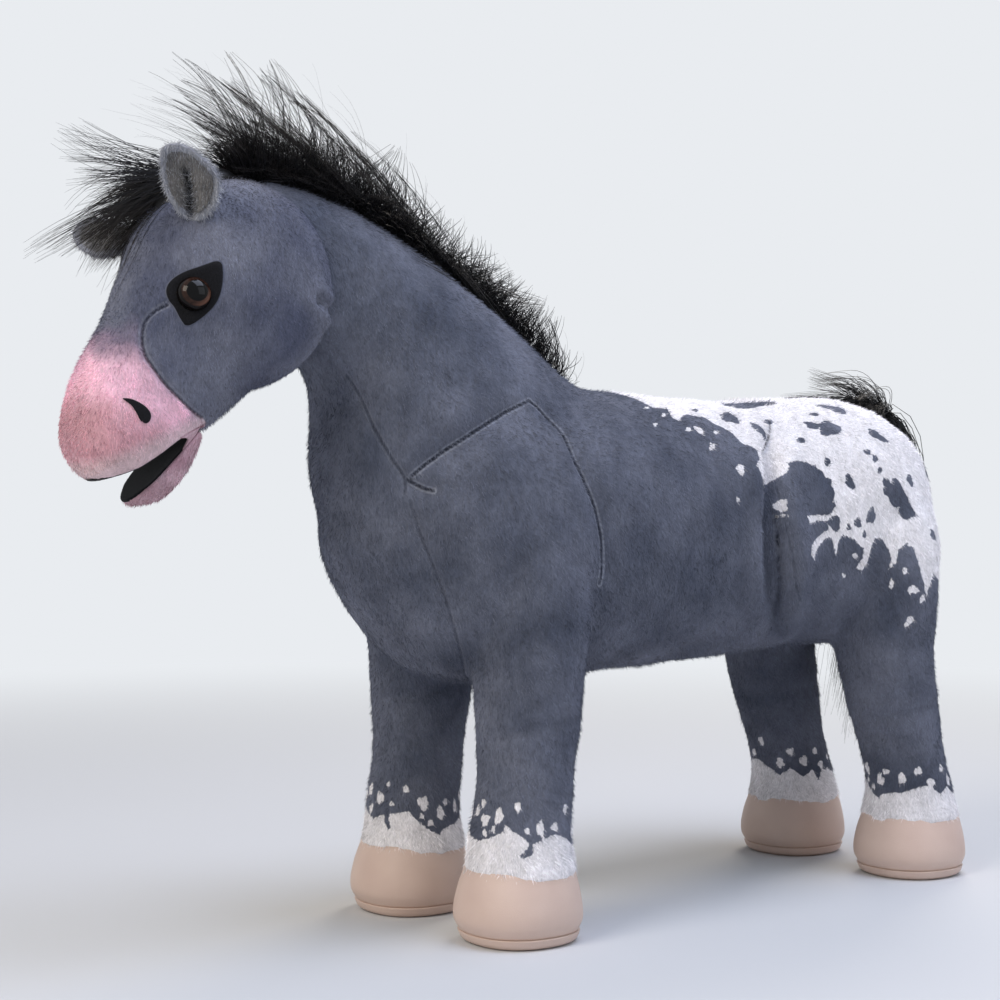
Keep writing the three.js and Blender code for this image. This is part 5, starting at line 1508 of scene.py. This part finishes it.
dense_base("tail_dense_base", core, "tail", "tail_hair", rings=30, sides=24, start_round=0.08, end_round=0.1)

# Tail dock
# A short stub of plush over filling, sewn into the seam over the rump. The tail's hair is sewn to its
# end and hides it.

# Black-grey plush of the coat's kind: matt, with a faint sheen
dock_plush, tree = new_material("plush_dock")
pile, height = nap(tree, mottled(tree, 33.3, "2a2b33", "3a3c47", low=0)[0])
finish(tree, {"Base Color": pile, "Roughness": 0.92, "Sheen Weight": 0.2, "Specular IOR Level": 0.12},
       height, depth=0.9, strength=0.6)
dock = bpy.data.objects.new("tail_dock_plush", frame["nodes"]["tail_dock"].data.copy())
bpy.context.scene.collection.objects.link(dock)
soften(dock, 1.4, 3)
dock.data.materials.clear()
dock.data.materials.append(dock_plush)
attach(dock, "dock")
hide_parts("tail_dock")

# Frame, bindings, boards and washers
# Inside the toy: steel wire bent into two leg hoops and a spine, and bound with cloth tape where they
# cross, a stiff board in each hoof, and the washers that hold the eyes.

# Drawn steel: bright, with faint lines along it that spread its highlights
steel, tree = new_material("steel_wire_drawn")
colour, lines = mottled(tree, 4.17, "7e8287", "9a9da1", low=0, rough=0.6, drawn=(1, 1, 0.15))
finish(tree, {"Base Color": colour, "Metallic": 1.0, "Roughness": 0.34}, lines, depth=0.1, strength=0.4)
# Woven cotton tape with a rubbery backing: dull black, with its threads just seen
tape, tree = new_material("cloth_tape_black")
colour, threads = mottled(tree, 0.625, "17171a", "26262a", low=0, detail=2, drawn=(1, 0.3, 1))
finish(tree, {"Base Color": colour, "Roughness": 0.8}, threads, depth=0.3, strength=0.7)
# Pressed wood fibre: brown, flecked and matt
board, tree = new_material("pressed_fibre_board")
colour, fibres = mottled(tree, 2, "9c7c55", "bb9768", low=0, detail=4, rough=0.7, drawn=(1, 0.4, 1))
finish(tree, {"Base Color": colour, "Roughness": 0.85}, fibres, depth=0.2, strength=0.5)
# Moulded polyethylene: milky white, smooth and a little waxy
moulded, tree = new_material("washer_plastic_white")
colour, cloud = mottled(tree, 16.7, "e2e0d8", "eeece6", low=0, detail=2)
finish(tree, {"Base Color": colour, "Roughness": 0.4}, cloud, depth=0.1, strength=0.2)
HIDDEN = [
    (steel, ["front_leg_wire", "hind_leg_wire", "spine_wire"]),
    (tape, ["front_binding", "rear_binding"]),
    (board, [f"{pair}_board_{side}" for pair in ("front", "hind") for side in ("left", "right")]),
    (moulded, ["eye_washer_left", "eye_washer_right"]),
]
for material, nodes in HIDDEN:
    for node in nodes:
        frame["nodes"][node].data.materials.clear()
        frame["nodes"][node].data.materials.append(material)

# Pile
# The pile itself: fine polyester hairs knitted into every plush panel and brushed down and back in
# streaks. Real ones are 0.03 mm thick, too fine to show, so fewer are drawn, 0.5 mm thick at the root.
pile_tree = bpy.data.node_groups.new("short_pile", "GeometryNodeTree")
pile_inputs = named_inputs(pile_tree, {
    "Hairs per square metre": "Float", "Panel": "Float", "Hair length": "Float", "Hair radius": "Float",
    "Nap direction": "Vector", "Seed": "Int", "Material": "Material"})
given = add(pile_tree, "NodeGroupInput")
on_panel = add(pile_tree, "GeometryNodeInputNamedAttribute", {"Name": "panel"}, data_type="FLOAT")
chosen = add(pile_tree, "ShaderNodeMath", {
    0: on_panel.outputs["Attribute"], 1: given.outputs["Panel"], 2: 0.3}, operation="COMPARE")
spread = add(pile_tree, "GeometryNodeDistributePointsOnFaces", {
    "Mesh": given.outputs["Geometry"], "Selection": chosen, "Seed": given.outputs["Seed"],
    "Density": given.outputs["Hairs per square metre"]}, distribute_method="RANDOM")
# A hair lies along the nap, stands up from the skin a little, and turns in patches and by itself
facing = spread.outputs["Normal"]
into_skin = add(pile_tree, "ShaderNodeVectorMath", {0: given.outputs["Nap direction"], 1: facing},
                operation="DOT_PRODUCT").outputs["Value"]
into_skin = add(pile_tree, "ShaderNodeVectorMath", {0: facing, "Scale": into_skin}, operation="SCALE")
lying = add(pile_tree, "ShaderNodeVectorMath", {0: given.outputs["Nap direction"], 1: into_skin},
            operation="SUBTRACT")
at = add(pile_tree, "GeometryNodeInputPosition")
brushed = add(pile_tree, "ShaderNodeTexNoise", {"Vector": at, "Scale": 1 / (58.8 * MM), "Detail": 2.0})
brushed = add(pile_tree, "ShaderNodeVectorMath", {0: brushed.outputs["Color"], 1: (0.5, 0.5, 0.5)},
              operation="SUBTRACT")
brushed = add(pile_tree, "ShaderNodeVectorMath", {0: brushed, "Scale": 1.6}, operation="SCALE")
loose = add(pile_tree, "FunctionNodeRandomValue", {0: (-0.3, -0.3, -0.3), 1: (0.3, 0.3, 0.3), 8: 3},
            data_type="FLOAT_VECTOR")
raised = add(pile_tree, "ShaderNodeVectorMath", {0: facing, "Scale": 0.4}, operation="SCALE")
heading = lying
for part in (brushed, loose, raised):
    heading = add(pile_tree, "ShaderNodeVectorMath", {0: heading, 1: part}, operation="ADD")
turned = add(pile_tree, "FunctionNodeAlignRotationToVector", {"Vector": heading}, axis="Z")
size = add(pile_tree, "FunctionNodeRandomValue", {2: 0.65, 3: 1.2, 8: 5}, data_type="FLOAT").outputs[1]
shade_of = add(pile_tree, "FunctionNodeRandomValue", {2: 0.0, 3: 1.0, 8: 9}, data_type="FLOAT").outputs[1]
toned = add(pile_tree, "GeometryNodeStoreNamedAttribute", {
    "Geometry": spread.outputs["Points"], "Name": "tone", "Value": shade_of},
            data_type="FLOAT", domain="POINT")
hair = add(pile_tree, "GeometryNodeMeshCone", {
    "Vertices": 3, "Side Segments": 1, "Fill Segments": 1, "Radius Top": 0.0,
    "Radius Bottom": given.outputs["Hair radius"], "Depth": given.outputs["Hair length"]}, fill_type="NGON")
planted = add(pile_tree, "GeometryNodeInstanceOnPoints", {
    "Points": toned, "Instance": hair, "Rotation": turned, "Scale": size})
whole = add(pile_tree, "GeometryNodeRealizeInstances", {"Geometry": planted})
whole = add(pile_tree, "GeometryNodeSetMaterial", {"Geometry": whole, "Material": given.outputs["Material"]})
add(pile_tree, "NodeGroupOutput", {"Geometry": whole})


# The hairs' material: matt, each hair lighter or darker than the next, and in streaks of painted sheen down
# the nap
def pile_finish(name, colour_of, marks=True):
    """The pile's material over a panel of some colour, with the painted shade and highlight of its seams or
    without.
    """
    made, tree = new_material(name)
    tone = add(tree, "ShaderNodeAttribute", attribute_name="tone").outputs["Fac"]
    lighter = add(tree, "ShaderNodeMapRange", {"Value": tone, "To Min": 0.78, "To Max": 1.5})
    place = add(tree, "ShaderNodeTexCoord").outputs["Object"]
    # Streaks down the nap, lighter and darker: painted sheen of the brushed pile
    down_nap = add(tree, "ShaderNodeVectorMath", {0: place, 1: (1, 1, 0.55)}, operation="MULTIPLY")
    streaks = add(tree, "ShaderNodeTexNoise", {"Vector": down_nap, "Scale": 1 / (23.8 * MM), "Detail": 4,
                                               "Roughness": 0.65, "Distortion": 1.2})
    streaks = add(tree, "ShaderNodeMapRange", {"Value": streaks, "From Min": 0.3, "From Max": 0.7,
                                               "To Min": -0.34, "To Max": 0.34})
    lit = add(tree, "ShaderNodeMath", {0: lighter, 1: streaks}, operation="ADD")
    colour = add(tree, "ShaderNodeVectorMath", {0: colour_of(tree), 3: lit}, operation="SCALE").outputs[0]
    if marks:
        # Painted shade and highlight at the seams, as on the skin under the pile
        colour, _ = painted_seam_shade(tree, colour, tone, "20232d")
    finish(tree, {"Base Color": colour, "Roughness": 0.75, "Sheen Weight": 0.2, "Sheen Roughness": 0.4,
                  "Specular IOR Level": 0.15})
    return made


HAIR_RADIUS = 0.25   # mm, at the root


def pile(name, owner, number, density, length, lies, material, body_name, slot_name, seed):
    """Pile over one panel of a plush piece: hairs per square metre, their length and the way they lie."""
    made = bpy.data.objects.new(name, owner.data.copy())
    bpy.context.scene.collection.objects.link(made)
    grown = made.modifiers.new("pile", "NODES")
    grown.node_group = pile_tree
    for key, value in (("Hairs per square metre", float(density)), ("Panel", float(number)), ("Seed", seed),
                       ("Hair length", length * MM), ("Hair radius", HAIR_RADIUS * MM),
                       ("Nap direction", lies), ("Material", material)):
        grown[pile_inputs[key]] = value
    baked(made)
    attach(made, body_name)


# The ways that the pile lies
BACK_AND_DOWN = (0.0, 0.55, -0.83)
DOWN_CHEEK = (0.0, 0.3, -0.95)
DOWN_LIP = (0.0, -0.3, -0.95)
coat_pile = pile_finish("pile_coat_printed", coat_colour)
for number, name in enumerate(("front_legs", "hind_legs", "neck", "barrel", "rump")):
    pile(f"pile_{name}", body, number, 185000, 4.3, BACK_AND_DOWN, coat_pile, "horse_body", "coat_plush",
         seed=20 + number)

# No pile grows inside the mouth, in the seams, or under the felt patches and nostrils
spots, aims = places_of(skull)
from_mouth = spots - MOUTH_AT
inside_mouth = (from_mouth @ ROOF > 2) & (from_mouth @ ROOF_UP < 3) & (aims @ ROOF_UP < -0.3)
bare = inside_mouth | (near_seam < 0.5)
for side in (1, -1):
    for outline, at, out in ((EYE_PATCH, EYE_AT, EYE_OUT), (NOSTRIL, NOSTRIL_AT, NOSTRIL_OUT)):
        outward, back, upward = over_skin(mirrored(out, side))
        off = spots - mirrored(at, side)
        over = inside_by(np.column_stack([off @ back, off @ upward]), rounded(outline)) > -0.8
        bare |= over & (np.abs(off @ outward) < 25)
mark(skull, "panel", np.where(bare, -1, 0))
head_pile = pile_finish("pile_head_airbrushed", face_colour)
pile("pile_head", skull, 0, 360000, 2.9, DOWN_CHEEK, head_pile, "head", "coat_plush", seed=31)
spots, _ = places_of(lip)
mark(lip, "panel", np.where((spots - MOUTH_AT) @ LIP_FLOOR_UP > -2, -1, 0))
lip_pile = pile_finish("pile_lower_lip_pink", lip_colour, False)
pile("pile_lower_lip", lip, 0, 340000, 3.2, DOWN_LIP, lip_pile, "lower_lip", "muzzle_plush", seed=32)


def ear_colour(tree):
    return mottled(tree, 33.3, "868890", "a1a3aa")[0]


def fleece_colour(tree):
    # The fold's painted shade, as on the lining
    return painted_fold_shade(tree, mottled(tree, 16.7, "626162", "7d7b7a")[0])


ear_pile = pile_finish("pile_ear_outer", ear_colour, False)
fleece_pile = pile_finish("pile_ear_fleece", fleece_colour, False)
for name, (_, upward, _, _, _) in EARS.items():
    lies = tuple(-0.4 * v for v in upward)
    for kind, material, length, slot_name in (("ear_plush", ear_pile, 4.2, "coat_plush"),
                                              ("ear_fleece", fleece_pile, 4.0, "ear_fleece")):
        owner = bpy.data.objects[f"{kind}_{name}"]
        mark(owner, "panel", np.zeros(len(owner.data.vertices)))
        pile(f"pile_{kind}_{name}", owner, 0, 600000, length, lies, material, f"{name}_ear", slot_name,
             seed=40)
